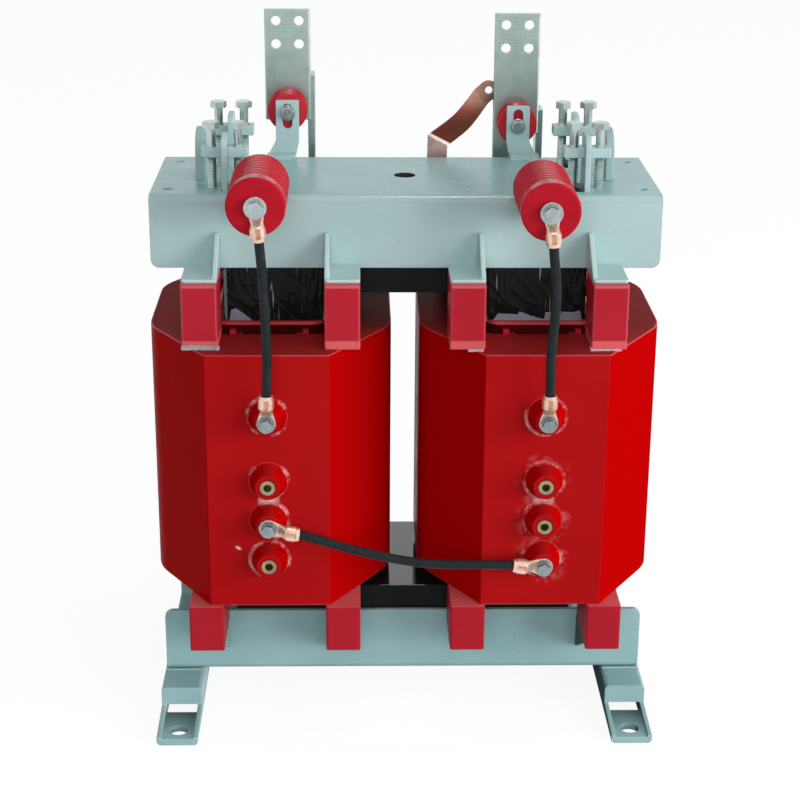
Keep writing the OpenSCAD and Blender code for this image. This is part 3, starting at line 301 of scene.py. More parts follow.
def coilFinish():  # cast resin with pale residue round the terminal bosses
    material, tree, shader, coords, colour = paintBase("coilResin")
    part, turned = axes(coords), faceTurn(tree)
    flat = put(tree, "CombineXYZ", {"X": absolute(part["X"]), "Z": part["Z"]}).outputs[0]

    def awayFrom(z):
        return put(tree, "VectorMath", {0: flat, 1: (coilMarks["x"], 0, z)}, operation="DISTANCE").outputs["Value"]

    near = combine("MINIMUM", *(awayFrom(z) for z in coilMarks["heights"]))
    inner, full, fade, outer = coilMarks["ring"]
    offBoss = spread(near, inner, full)
    blotches = pattern(coords, coilMarks["ringNoise"])
    ring = combine("MULTIPLY", offBoss, spread(near, fade, outer, 1, 0), blotches)
    height, small, large = coilMarks["joint"]
    joint = combine("MULTIPLY", spread(awayFrom(height), small, large, 1, 0), offBoss)
    patch = pattern(coords, coilMarks["patchNoise"], *coilMarks["share"])
    residue = combine("MULTIPLY", combine("MAXIMUM", ring, joint), patch)
    close, far, share = coilMarks["haze"]
    onRight = spread(part["X"], *coilMarks["hazeSide"])
    below = spread(part["Z"], *coilMarks["hazeTop"], 1, 0)
    veil = pattern(coords, coilMarks["hazeNoise"])
    haze = combine("MULTIPLY", spread(near, close, far, share, 0), veil, onRight, offBoss, below)
    scratchX, scratchZ = coilMarks["scratch"]
    lean = (0, math.radians(coilMarks["scratchTurn"]), 0)
    line = put(tree, "Mapping", {"Vector": coords, "Location": (scratchX, 0, scratchZ), "Rotation": lean,
                                 "Scale": coilMarks["scratchStretch"]}, vector_type="TEXTURE").outputs[0]
    bright, faint, strong = coilMarks["scratchSize"]
    away = put(tree, "VectorMath", {0: line}, operation="LENGTH").outputs["Value"]
    marks = combine("MAXIMUM", residue, haze, spread(away, bright, faint, strong, 0))
    marks = combine("MULTIPLY", marks, combine("LESS_THAN", part["Y"], coilMarks["front"]))
    # painted reflection: the front colour's green and blue stand for the pale reflection on the front faces; faces
    # turned sideways take the side colour without it
    aside = spread(absolute(turned["X"]), *coilMarks["sideTurn"])
    colour = blendColors(aside, colour, coilMarks["side"])
    colour = blendColors(marks, colour, coilMarks["color"])
    # painted shade under the clamp on the upward faces high on the coils, with some dust
    upward, high = spread(turned["Z"], *coilMarks["topTurn"]), spread(part["Z"], *coilMarks["crown"])
    crown = combine("MULTIPLY", upward, high)
    feed(shader, "Base Color", blendColors(crown, colour, coilMarks["top"]))
    gloss = spread(turned["X"], *coilMarks["dullTurn"], paints["coilResin"]["gloss"], 0)
    feed(shader, "Specular IOR Level", gloss)
    return material


insulatorShine = {
    "head": -0.185, "least": 0.01, "ribTurn": (0.12, 0.42), "headTurn": (0.72, 0.96),
    # faces turned left get a lighter colour: painted light
    "left": (0.58, 0.018, 0.032), "leftTurn": (-0.25, -0.8),
}


def insulatorFinish():  # ribs that shine only along the top, and a head that shines all over its upper half
    material, tree, shader, coords, colour = paintBase("insulatorResin")
    turned = faceTurn(tree)
    most, least = paints["insulatorResin"]["gloss"], insulatorShine["least"]
    ribs = spread(absolute(turned["X"]), *insulatorShine["ribTurn"], most, least)
    head = spread(turned["Z"], *insulatorShine["headTurn"], least, most)
    onHead = combine("LESS_THAN", axes(coords)["Y"], insulatorShine["head"])
    feed(shader, "Specular IOR Level", put(tree, "Mix", {0: onHead, 2: ribs, 3: head}).outputs[0])
    # painted light: faces turned to the left are painted lighter
    left = spread(turned["X"], *insulatorShine["leftTurn"])
    feed(shader, "Base Color", blendColors(left, colour, insulatorShine["left"]))
    return material


footShade = {
    "floor": (0.0085, 0.0095), "depth": (0.196, 0.148), "share": 0.75,
    "side": 0.72, "sideTurn": (-0.9, -0.6), "inner": (-0.1, -0.2), "color": (0.03, 0.05, 0.048),
}


def footFinish():  # painted shade inside the feet near the floor, and on their sides towards the left that face the middle
    material, tree, shader, coords, colour = paintBase("footPaint")
    part, turned = axes(coords), faceTurn(tree)
    low = spread(part["Z"], *footShade["floor"], 1, 0)
    deep = spread(absolute(part["Y"]), *footShade["depth"], 0, footShade["share"])
    inner = spread(combine("MULTIPLY", part["X"], turned["X"]), *footShade["inner"])
    aside = spread(turned["X"], *footShade["sideTurn"], footShade["side"], 0)
    paintedShade = combine("MAXIMUM", combine("MULTIPLY", deep, low), combine("MULTIPLY", aside, inner))
    feed(shader, "Base Color", blendColors(paintedShade, colour, footShade["color"]))
    gloss = spread(turned["X"], *footShade["sideTurn"], 0, paints["footPaint"]["gloss"])
    feed(shader, "Specular IOR Level", gloss)
    return material


coreSheets = {"wave": {"Scale": 280.0, "Distortion": 0.6, "Detail": 2.0}, "bump": (0.25, 0.0004)}


def coreFinish():  # black lacquer over the edges of the sheets
    material, tree, shader, coords, colour = paintBase("coreLacquer")
    feed(shader, "Base Color", colour)
    sheets = put(tree, "TexWave", {"Vector": coords, **coreSheets["wave"]}, wave_type="BANDS", bands_direction="Y")
    addBump(shader, sheets.outputs["Fac"], *coreSheets["bump"])
    return material


# painted highlights: thin pale streaks mixed into the black
filmHighlights = {
    "color": (0.30, 0.31, 0.31), "detail": 2, "soft": 0.05,
    "sets": [  # stretch, turn, scale, roughness, threshold, share
        ((9, 1, 0.45), 0, 26, 0.5, 0.70, 0.8), ((7, 1, 0.6), 42, 30, 0.55, 0.7, 0.6),
        ((6, 1, 0.9), -28, 34, 0.55, 0.705, 0.6)],
}


def filmFinish():  # black wrap with thin painted highlights along creases, upright and slanting
    material, tree, shader, coords, colour = paintBase("blackFilm")
    streaks = []
    for stretch, angle, scale, rough, least, share in filmHighlights["sets"]:
        lean = (0, math.radians(angle), 0)
        turned = put(tree, "Mapping", {"Vector": coords, "Rotation": lean, "Scale": stretch}).outputs[0]
        kind = (scale, filmHighlights["detail"], rough, least, least + filmHighlights["soft"])
        streaks.append(pattern(turned, kind, 0, share))
    feed(shader, "Base Color", blendColors(combine("MAXIMUM", *streaks), colour, filmHighlights["color"]))
    return material


strapTint = {  # colours along the copper strap, measured from its slanting fold: a painted highlight on the fold, painted reflection on the paler part below it and painted shade on the dark part above it
    "slant": 0.518, "fold": (0.0313, 0.6121), "side": (0.0423, 0.6064, 0.659, -0.752),
    "stops": [
        (0.586, (0.50, 0.31, 0.28)), (0.6095, (0.62, 0.42, 0.38)), (0.6108, (0.95, 0.82, 0.78)),
        (0.6128, (0.95, 0.82, 0.78)), (0.6142, (0.13, 0.02, 0.015)), (0.638, (0.10, 0.022, 0.014)),
        (0.656, (0.24, 0.05, 0.04)), (0.672, (0.36, 0.2, 0.13)), (0.7, (0.46, 0.27, 0.18))],
    "olive": (0.085, 0.042, 0.018), "share": 0.6, "across": (-0.004, 0.008), "above": (0.002, 0.006),
    "stainNoise": (70, 4, 0.65, 0.4, 0.7), "stainShare": 0.4, "stain": (0.10, 0.03, 0.02),
    "grain": (160, 4, 0.6), "sheen": (0.3, 0.7, 0.28, 0.48), "metal": 0.6, "gloss": 0.15, "bump": (0.1, 0.0004),
}


def strapFinish():  # copper strap, dark in the middle as painted shade, with a painted highlight on the fold and an olive tint across its upper part
    material, tree, shader, coords = startFinish("strapCopper")
    part = axes(coords)

    def scaled(value, factor, start):
        return put(tree, "Math", {0: value, 1: factor, 2: start}, operation="MULTIPLY_ADD").outputs[0]

    (foldX, foldZ), slant = strapTint["fold"], strapTint["slant"]
    along = combine("ADD", scaled(part["X"], slant, -foldX * slant), part["Z"])
    low, high = strapTint["stops"][0][0], strapTint["stops"][-1][0]
    ramp = put(tree, "ValToRGB", {"Fac": spread(along, low, high)})
    for index, (stop, tint) in enumerate(strapTint["stops"]):
        place = (stop - low) / (high - low)
        mark = ramp.color_ramp.elements[index] if index < 2 else ramp.color_ramp.elements.new(place)
        mark.position, mark.color = place, (*tint, 1)
    midX, midZ, sideX, sideZ = strapTint["side"]
    across = scaled(part["Z"], sideZ, scaled(part["X"], sideX, -midX * sideX - midZ * sideZ))
    above = spread(along, *(foldZ + step for step in strapTint["above"]))
    heated = combine("MULTIPLY", spread(across, *strapTint["across"], 0, strapTint["share"]), above)
    colour = blendColors(heated, ramp.outputs["Color"], strapTint["olive"])
    stains = pattern(coords, strapTint["stainNoise"], 0, strapTint["stainShare"])
    feed(shader, "Base Color", blendColors(stains, colour, strapTint["stain"]))
    grain = cloud(coords, *strapTint["grain"])
    feed(shader, "Roughness", spread(grain, *strapTint["sheen"]))
    feed(shader, "Metallic", strapTint["metal"])
    feed(shader, "Specular IOR Level", strapTint["gloss"])
    addBump(shader, grain, *strapTint["bump"])
    return material


sheath = {
    "color": (0.009, 0.013, 0.014), "scuff": (0.02, 0.026, 0.027), "scuffNoise": (120, 5, 0.7, 0.45, 0.75),
    "sheenNoise": (300, 3, 0.55, 0.3, 0.7), "rough": (0.42, 0.6), "gloss": 0.15,
    "grain": (700, 3), "bump": (0.15, 0.0004),
}


def cableFinish():  # matt black sheath with scuffs along it
    material, _, shader, coords = startFinish("cableSheath")
    scuff = pattern(coords, sheath["scuffNoise"])
    feed(shader, "Base Color", blendColors(scuff, sheath["color"], sheath["scuff"]))
    feed(shader, "Roughness", pattern(coords, sheath["sheenNoise"], *sheath["rough"]))
    feed(shader, "Specular IOR Level", sheath["gloss"])
    addBump(shader, cloud(coords, *sheath["grain"]), *sheath["bump"])
    return material


ownFinish = {
    "coilResin": coilFinish, "insulatorResin": insulatorFinish, "footPaint": footFinish, "coreLacquer": coreFinish,
    "blackFilm": filmFinish, "strapCopper": strapFinish, "cableSheath": cableFinish,
}
finishes = {name: plainPaint(name) for name in paints if name not in ownFinish}
finishes.update({name: metalFinish(name) for name in metals})
finishes.update({name: make() for name, make in ownFinish.items()})
print("finishes made:", len(finishes))

# shared modelling steps
cleaning = {"same": 0.000001, "merge": 0.00002, "flat": 0.6, "evenWeight": 90}


def nodeOf(name):  # the CAD node that a piece stands for
    return "".join("_" + c.lower() if c.isupper() else c for c in name)


def addPiece(name, bm, finishName, extra=False, smoothAngle=38, even=False, more=()):
    stands = [] if extra else [nodeOf(name)]
    mesh = bpy.data.meshes.new(name)
    bm.to_mesh(mesh)
    bm.free()
    piece = bpy.data.objects.new(name, mesh)
    scene.collection.objects.link(piece)
    for each in (finishName, *more):  # further finishes for faces with a higher material index
        mesh.materials.append(finishes[each])
    mesh.shade_smooth()
    mesh.set_sharp_from_angle(angle=math.radians(smoothAngle))
    if even:
        shade = piece.modifiers.new("evenShade", "WEIGHTED_NORMAL")
        shade.weight, shade.keep_sharp = cleaning["evenWeight"], True
    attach(piece, "root")
    if stands:
        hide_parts(*stands)
    return piece


def nodeMesh(name):  # a merged copy of a piece's CAD node, flat faces made whole
    bm = bmesh.new()
    bm.from_mesh(nodes[nodeOf(name)].data)
    bmesh.ops.remove_doubles(bm, verts=bm.verts, dist=cleaning["merge"])
    bmesh.ops.dissolve_limit(bm, angle_limit=math.radians(cleaning["flat"]), verts=bm.verts, edges=bm.edges)
    return bm


def softenEdges(bm, width, segments=2, least=28, chosen=None):  # rounds the edges sharper than least degrees
    sharp = [e for e in bm.edges if e.is_manifold and e.calc_face_angle(0) > math.radians(least)]
    sharp = [e for e in sharp if chosen is None or chosen(e)]
    return bmesh.ops.bevel(bm, geom=sharp, offset=width, offset_type="OFFSET", affect="EDGES", segments=segments,
                           profile=0.5, material=-1, clamp_overlap=False, loop_slide=True)


def cutAcross(bm, place, normal):  # a loop of edges through the whole mesh
    whole = bm.verts[:] + bm.edges[:] + bm.faces[:]
    bmesh.ops.bisect_plane(bm, geom=whole, dist=cleaning["same"], plane_co=place, plane_no=normal)


dressed = [  # pieces, finish, slot, edge width in mm, segments, finish of the edges where it is another
    # the paler edge finishes are painted highlights, on the brackets partly worn paint
    ("leftFoot rightFoot", "footPaint", "frame_paint", 0.9, 2),
    ("lowerClamp lowerBrackets", "footPaint", "frame_paint", 0.8, 2),
    ("upperBrackets", "seatPaint", "frame_paint", 1.0, 2, "frameEdge"),
    ("tiePlates", "framePaint", "frame_paint", 0.7, 2),
    ("crossBars", "framePaint", "frame_paint", 1.5, 3),
    ("liftingEyes", "eyePaint", "frame_paint", 1.2, 2),
    ("frontStraps rearStraps", "framePaint", "frame_paint", 0.6, 2),
    ("yokeBoards", "insulatingBoard", "board", 0.5, 1),
    ("lowerYoke upperYoke", "coreLacquer", "core_lacquer", 1.2, 2),
    ("leftLimb rightLimb", "coreLacquer", "core_lacquer", 1.0, 2),
    ("leftHvCoil rightHvCoil", "coilResin", "coil_resin", 1.1, 3, "coilEdge"),
    ("leftLowerBlocks rightLowerBlocks", "lowerResin", "block_resin", 1.0, 2, "blockEdge"),
    ("leftUpperBlocks rightUpperBlocks", "blockResin", "block_resin", 0.8, 2, "blockEdge"),
    ("blockPads", "padSilicone", "pad_silicone", 0.5, 2),
    ("leftFrontInsulator rightFrontInsulator", "insulatorResin", "insulator_resin", 0.5, 2),
    ("leftRearInsulator rightRearInsulator", "insulatorResin", "insulator_resin", 0.6, 2),
    ("leftInserts rightInserts", "insertBrass", "insert_brass", 0.5, 2),
    ("busbarLeads", "busbarTin", "busbar_metal", 0.9, 2),
    ("copperStrap", "strapCopper", "copper", 0, 0),
]
dressing = {
    "front": -0.1783,  # edges farther forward, on the bosses, keep the body's finish
    "level": 0.9,
    # the lower blocks' tops take the pad colour as a painted highlight
    "upperSides": {"lowerYoke": "yokeGloss", "leftLowerBlocks": "padSilicone", "rightLowerBlocks": "padSilicone"},
}
strapBend = {
    "fold": (42.3, 96.5, 606), "tab": (91, 134.5, 649), "cuts": 16, "side": (0.66, 0, -0.75), "knee": 4.4, "soft": 0.3,
    "lean": -3.0, "foot": (540, 590), "seam": 0.065, "merge": 1.2,
}


def bendStrap(bm):  # a slight knee between the folds, and a lean in the foot
    fold, tab = (Vector(strapBend[end]) * mm for end in ("fold", "tab"))
    way, soft = tab - fold, strapBend["soft"]

    def along(vert):
        return (vert.co - fold).dot(way) / way.length_squared

    seams = [v for v in bm.verts if min(abs(along(v)), abs(along(v) - 1)) < strapBend["seam"]]
    bmesh.ops.remove_doubles(bm, verts=seams, dist=strapBend["merge"] * mm)  # short edges at the folds
    for cut in range(1, strapBend["cuts"]):
        cutAcross(bm, fold + way * cut / strapBend["cuts"], way.normalized())
    low, high = (z * mm for z in strapBend["foot"])
    for vert in bm.verts:
        share = min(max(along(vert), 0), 1)
        knee = math.hypot(1, soft) - math.hypot(2 * share - 1, soft)
        lean = (1 - share) * min(max((vert.co.z - low) / (high - low), 0), 1)
        vert.co += Vector(strapBend["side"]) * strapBend["knee"] * mm * knee / (math.hypot(1, soft) - soft)
        vert.co.x += strapBend["lean"] * mm * lean


pieces = {}
for names, finishName, slotName, edge, steps, *edgeFinish in dressed:
    for pieceName in names.split():
        bm = nodeMesh(pieceName)
        if pieceName == "copperStrap":
            bendStrap(bm)
        rounded = softenEdges(bm, edge * mm, steps)["faces"] if edge else []
        for face in rounded if edgeFinish else []:
            face.material_index = int(face.calc_center_median().y > dressing["front"])
        pieces[pieceName] = addPiece(pieceName, bm, finishName, even=True, more=edgeFinish)
for pieceName, finishName in dressing["upperSides"].items():  # wet lacquer on the lower yoke; the pale pad colour on the lower blocks' tops as a painted highlight
    mesh = pieces[pieceName].data
    for face in mesh.polygons:
        if face.normal.z > dressing["level"]:
            face.material_index = len(mesh.materials)
    mesh.materials.append(finishes[finishName])

deck = {"edge": 0.8, "hole": 0.0135, "deep": 0.576, "wall": 0.5, "foldTilt": (0.12, 0.98), "foldAway": 0.08}


def dressDeck():  # glossy folds, painted shade on the wall of the middle hole, and painted shade on the top
    bm = nodeMesh("upperClamp")
    softenEdges(bm, deck["edge"] * mm, 2)
    steep, level = deck["foldTilt"]
    for face in bm.faces:
        middle, normal = face.calc_center_median(), face.normal
        if steep < normal.z < level and abs(normal.y) > steep and abs(middle.y) > deck["foldAway"]:
            face.material_index = 1
        # the hole's wall takes the dark board finish: painted shade
        elif middle.xy.length < deck["hole"] and abs(normal.z) < deck["wall"] and middle.z > deck["deep"]:
            face.material_index = 2
        elif normal.z > level and middle.z > deck["deep"]:
            face.material_index = 3
    more = ("frameGlint", "insulatingBoard", "shadedDeckPaint")
    addPiece("upperClamp", bm, "framePaint", even=True, more=more)


dressDeck()

innerCoil = {
    "half": (0.0595, 0.101), "outer": 0.92, "top": 0.4515, "round": 4.6, "edge": 0.8, "edgeAngle": 40, "wall": 0.3,
}


def dressInnerCoil(name, x):  # round outer rim with a painted highlight on its top, and painted shade on its wall in the air duct
    halfWide, halfDeep = innerCoil["half"]

    def outside(place):
        return max(abs(place.x - x) / halfWide, abs(place.y) / halfDeep) > innerCoil["outer"]

    def onRim(edge):
        return all(outside(v.co) and v.co.z > innerCoil["top"] for v in edge.verts)

    bm = nodeMesh(name)
    softenEdges(bm, innerCoil["round"] * mm, 4, chosen=onRim)
    softenEdges(bm, innerCoil["edge"] * mm, 2, innerCoil["edgeAngle"])
    for face in bm.faces:
        if outside(face.calc_center_median()):
            face.material_index = 1 if abs(face.normal.z) < innerCoil["wall"] else 2
    addPiece(name, bm, "rimResin", even=True, more=("ductShade", "coilEdge"))


sticks = {
    "coils": (-145, 145), "aside": 38.5, "width": 7, "back": 100.8, "front": 107.4, "low": 425, "high": 445.5,
    "edge": 0.9,
}


def ductSticks():  # spacer sticks standing a little out of the air ducts
    bm = bmesh.new()
    size = (sticks["width"], sticks["front"] - sticks["back"], sticks["high"] - sticks["low"])
    middleY, middleZ = (sticks["front"] + sticks["back"]) / 2, (sticks["low"] + sticks["high"]) / 2
    for x, side, front in ((a, b, c) for a in sticks["coils"] for b in (-1, 1) for c in (-1, 1)):
        place = Vector((x + side * sticks["aside"], front * middleY, middleZ)) * mm
        bmesh.ops.create_cube(bm, size=mm, matrix=Matrix.Translation(place) @ Matrix.Diagonal((*size, 1)))
    softenEdges(bm, sticks["edge"] * mm, 2)
    addPiece("ductSticks", bm, "lowerResin", extra=True, even=True)


ductSticks()
dressInnerCoil("leftLvCoil", -0.145)
dressInnerCoil("rightLvCoil", 0.145)
print("dressed pieces:", len(pieces))


def joinInto(bm, shape, place):  # adds a finished shape to a piece
    shape.transform(place)
    spare = bpy.data.meshes.new("spare")
    shape.to_mesh(spare)
    shape.free()
    bm.from_mesh(spare)
    bpy.data.meshes.remove(spare)


def lathe(profile, steps=40):  # turned shape round Z, from (radius, height) in mm
    bm = bmesh.new()
    ring = [bm.verts.new((r * mm, 0, h * mm)) for r, h in profile]
    line = [bm.edges.new(pair) for pair in zip(ring, ring[1:])]
    bmesh.ops.spin(bm, geom=ring + line, axis=(0, 0, 1), cent=(0, 0, 0), angle=2 * math.pi, steps=steps, use_merge=True)
    bmesh.ops.remove_doubles(bm, verts=bm.verts, dist=cleaning["same"])
    bmesh.ops.recalc_face_normals(bm, faces=bm.faces)
    return bm


headForm = {
    "rim": 0.46, "corner": 0.577, "chamfer": 1, "lip": 0.5, "lipRise": 0.02, "dish": 0.25, "slope": 0.58, "steps": 48,
}
sixth = math.pi / 3


def hexHead(flats, base, height):  # bolt head with its corners chamfered by a cone
    rim, corner, top = flats * headForm["rim"], flats * headForm["corner"], base + height
    bm = lathe([(0, base), (corner, base), (corner, top - headForm["chamfer"]), (rim, top),
                (rim - headForm["lip"], top + headForm["lipRise"]), (0, top - headForm["dish"])], headForm["steps"])
    for vert in bm.verts:
        radius = math.hypot(vert.co.x, vert.co.y) / mm
        if radius > flats / 2:
            side = flats / 2 / math.cos(math.atan2(vert.co.y, vert.co.x) % sixth - sixth / 2)
            vert.co.x, vert.co.y = vert.co.x * side / radius, vert.co.y * side / radius
            if vert.co.z > (base + height / 2) * mm:
                vert.co.z = (top - (side - rim) * headForm["slope"]) * mm
    return bm


toFront, toBack = Matrix.Rotation(math.pi / 2, 4, "X"), Matrix.Rotation(-math.pi / 2, 4, "X")
washerForm = {"thick": (2.1, 1.7), "shoulder": (1.6, 1.3), "under": 0.4, "over": 0.5}  # flat washer, spring ring


def boltUp(bm, x, y, z, turn, facing, washer, flats, high):  # washer, spring ring and head on a seat
    place = Matrix.Translation((x * mm, y * mm, z * mm)) @ facing @ Matrix.Rotation(math.radians(turn), 4, "Z")
    under, over, stack = washerForm["under"], washerForm["over"], 0
    for radius, thick, shoulder in zip(washer, washerForm["thick"], washerForm["shoulder"]):
        if radius:
            top = stack + thick
            joinInto(bm, lathe([(0, stack), (radius - under, stack), (radius, stack + under), (radius, stack + shoulder),
                                (radius - over, top), (0, top)]), place)
            stack = top
    joinInto(bm, hexHead(flats, stack, high - stack), place)


boltShade = {"coils": 0.45, "side": 0.6}


def addBolts(name, bm):  # sides of the heads and washers are darker, and so are the bolts on the coils
    for face in bm.faces:
        dull = 2 if face.calc_center_median().z < boltShade["coils"] else 0
        face.material_index = 1 if abs(face.normal.y) < boltShade["side"] else dull
    addPiece(name, bm, "zincSteel", more=("zincShade", "zincDull"))


terminals = {  # x, seat, z, turn and size of each lug bolt
    "bolts": [(-151.7, -201, 602, 12, "wide"), (140.3, -201, 597, 38, "wide"), (-145, -199, 374, 20, "small"),
              (145, -199, 374, 5, "small"), (-145, -199, 257, 47, "small"), (145, -199, 212, 28, "small")],
    "palm": 3, "high": 9, "wide": ((11.5, 8.6), 14.5), "small": ((9.4, 7.4), 12.6),
}


def terminalBolts():
    bm = bmesh.new()
    for x, y, z, turn, size in terminals["bolts"]:
        washer, flats = terminals[size]
        boltUp(bm, x, y - terminals["palm"], z, turn, toFront, washer, flats, terminals["high"])
    addBolts("terminalBolts", bm)


strapBolts = {  # x, seat, z, turn, facing, flat washer and spring ring, high
    "bolts": [(-130, 90, 638, 15, toFront, (8.8, 0), 6.5), (130, 90, 623, 4, toFront, (8.8, 0), 6.5),
              (-130, 131, 638, 33, toBack, (11.5, 8.2), 9), (130, 131, 623, 50, toBack, (11.5, 8.2), 9),
              (-151.7, -90, 602, 9, toBack, (0, 0), 6.5), (140.3, -90, 597, 0, toBack, (0, 0), 6.5),
              (38, 98, 540, 21, toBack, (0, 0), 6.5)],
    "flats": 13.8,
}


def rearBolts():
    bm = bmesh.new()
    for x, y, z, turn, facing, washer, high in strapBolts["bolts"]:
        boltUp(bm, x, y, z, turn, facing, washer, strapBolts["flats"], high)
    addBolts("strapBolts", bm)


jack = {
    "x": 190.5, "y": 56, "aside": 14, "deck": 588, "radius": 5, "rise": 63, "flats": 16, "head": 7, "pitch": 1.75,
    "thread": 46, "depth": 0.45, "neck": 0.93, "turn": 17, "steps": 20,
}


def jackBolts():  # threaded shanks, each turned a little further than the last
    bm = bmesh.new()
    count, neck = int(2 * jack["thread"] / jack["pitch"]), jack["radius"] * jack["neck"]
    ridges = [(jack["radius"] - jack["depth"] * (i % 2), i * jack["pitch"] / 2) for i in range(count)]
    shank = [(0, 0)] + ridges + [(neck, jack["thread"] + 1), (neck, jack["rise"]), (0, jack["rise"])]
    for index, (side, away, fore) in enumerate((a, b, c) for a in (-1, 1) for b in (-1, 1) for c in (-1, 1)):
        x, y = side * jack["x"] + away * jack["aside"], fore * jack["y"]
        turn = Matrix.Rotation(math.radians(jack["turn"] * index), 4, "Z")
        place = Matrix.Translation((x * mm, y * mm, jack["deck"] * mm)) @ turn
        joinInto(bm, lathe(shank, jack["steps"]), place)
        joinInto(bm, hexHead(jack["flats"], jack["rise"], jack["head"]), place)
    addPiece("jackBolts", bm, "jackZinc")


terminalBolts()
rearBolts()
jackBolts()
print("bolts turned")

lug = {
    "sides": 48, "groove": (4.0, 2.0), "smooth": 25, "seat": {"insulator": -201, "coil": -199},
    "rings": [  # along, half width, half height, middle above the seat, squareness, crimp
        (-9.9, 1.5, 0.9, 1.5, 2, 1), (-9, 4.4, 1.5, 1.5, 5, 1), (-7, 7.1, 1.5, 1.5, 6, 1), (-3.5, 9.4, 1.5, 1.5, 6, 1),
        (0, 10, 1.5, 1.5, 6, 1), (4, 9.3, 1.5, 1.5, 6, 1), (7.5, 8.2, 1.5, 1.5, 6, 1), (10.5, 7.2, 1.8, 1.8, 5, 1),
        (13.5, 6.6, 3.0, 3.1, 3.2, 1), (16, 6.7, 4.9, 5, 2.4, 1), (17.8, 7.2, 6.4, 6.4, 2.1, 1),
        (18.8, 7.2, 6.9, 6.9, 2, 1), (19.6, 8.0, 6.7, 6.8, 2.6, 0.97), (28.6, 8.0, 6.7, 6.8, 2.6, 0.97),
        (29.6, 7.2, 7, 7, 2, 1), (32.3, 7.2, 7, 7, 2, 1), (33, 6.8, 6.6, 7, 2, 1), (33, 5.6, 5.6, 7, 2, 1),
        (31.5, 5.3, 5.3, 7, 2, 1)],
    "sets": {
        "leftDropLugs": [(-151.7, "insulator", 602, 84), (-145, "coil", 374, -89)],
        "rightDropLugs": [(140.3, "insulator", 597, 85), (145, "coil", 374, -90)],
        "linkLugs": [(-145, "coil", 257, 8), (145, "coil", 212, 188)],
    },
}


def lugShape():  # tube pressed flat at one end, with a crimp groove between two lobes near the other
    rings, (deep, wideGroove) = lug["rings"], lug["groove"]
    bm = bmesh.new()
    bmesh.ops.create_cone(bm, cap_ends=True, segments=lug["sides"], radius1=1, radius2=1, depth=len(rings) - 1)
    upright = [e for e in bm.edges if abs(e.verts[0].co.z - e.verts[1].co.z) > 0.5]
    bmesh.ops.subdivide_edges(bm, edges=upright, cuts=len(rings) - 2, use_grid_fill=True)
    for vert in bm.verts:
        along, wide, high, middle, square, crimp = rings[round(vert.co.z + (len(rings) - 1) / 2)]
        angle = math.atan2(vert.co.y, vert.co.x)
        press = min(1, crimp / math.cos(angle % sixth - sixth / 2)) if crimp < 1 else 1
        across = math.copysign(abs(math.cos(angle)) ** (2 / square), math.cos(angle)) * wide * press
        out = math.copysign(abs(math.sin(angle)) ** (2 / square), math.sin(angle)) * high * press + middle
        if crimp < 1 and out > middle:
            out -= deep * math.exp(-(across / wideGroove) ** 2)
        vert.co = Vector((along, -out, across)) * mm
    bmesh.ops.recalc_face_normals(bm, faces=bm.faces)
    return bm


for pieceName, places in lug["sets"].items():
    bm = bmesh.new()
    for x, seat, z, angle in places:
        place = Matrix.Translation((x * mm, lug["seat"][seat] * mm, z * mm))
        joinInto(bm, lugShape(), place @ Matrix.Rotation(math.radians(angle), 4, "Y"))
    pieces[pieceName] = addPiece(pieceName, bm, "lugCopper", smoothAngle=lug["smooth"])
print("lugs pressed")

# jumper cables, from lug to lug, in mm
cables = {
    "diameter": 10.4, "sheath": 9.9, "roundness": 5, "smoothness": 6,
    "leftDropCable": ("leftDropLugs", [
        (-148.3, -208, 569.2), (-147.8, -208.6, 562), (-147.0, -209.4, 553), (-146.2, -210.2, 543), (-145.4, -211, 532),
        (-144.8, -211.6, 520), (-144.2, -212, 507), (-143.7, -212.2, 494), (-143.2, -212.1, 481), (-142.8, -211.7, 468),
        (-142.6, -211, 455), (-142.6, -210, 442), (-143, -208.8, 430), (-143.7, -207.4, 418), (-144.4, -206, 406.9)]),
    "rightDropCable": ("rightDropLugs", [
        (143.2, -208, 564.1), (143.7, -208.7, 556), (144.5, -209.5, 548), (145.4, -210.3, 540), (146.3, -211.2, 530),
        (146.9, -211.9, 520), (147, -212.3, 508), (146.6, -212.5, 496), (145.7, -212.3, 482), (144.7, -211.8, 468),
        (144.2, -211, 454), (144.3, -210, 440), (144.6, -208.8, 428), (144.8, -207.4, 417), (145, -206, 407)]),
    "linkCable": ("linkLugs", [
        (-112.3, -206, 252.4), (-100, -206.8, 249.5), (-84, -208.2, 244.9), (-68, -209.6, 240.4), (-52, -210.8, 236.4),
        (-36, -211.8, 232.7), (-20, -212.5, 229.2), (-4, -213, 226.2), (12, -213, 223.6), (28, -212.7, 221.8),
        (44, -212, 220.6), (60, -210.9, 219.9), (78, -209.3, 218.9), (96, -207.5, 217.9), (112.3, -206, 216.6)]),
}


def layCable(name):
    nodeName, (lugs, route) = nodeOf(name), cables[name]
    data = bpy.data.curves.new(name, "CURVE")
    data.dimensions, data.use_fill_caps = "3D", True
    data.bevel_depth, data.bevel_resolution = cables["sheath"] / 2 * mm, cables["roundness"]
    data.resolution_u = cables["smoothness"]
    line = data.splines.new("BEZIER")
    line.bezier_points.add(len(route) - 1)
    for point, place in zip(line.bezier_points, route):
        point.co = Vector(place) * mm
        point.handle_left_type = point.handle_right_type = "AUTO"
    cable = bpy.data.objects.new(name, data)
    scene.collection.objects.link(cable)
    data.materials.append(finishes["cableSheath"])
    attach(cable, "root")
    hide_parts(nodeName)


for cableName in ("leftDropCable", "rightDropCable", "linkCable"):
    layCable(cableName)
print("cables laid")

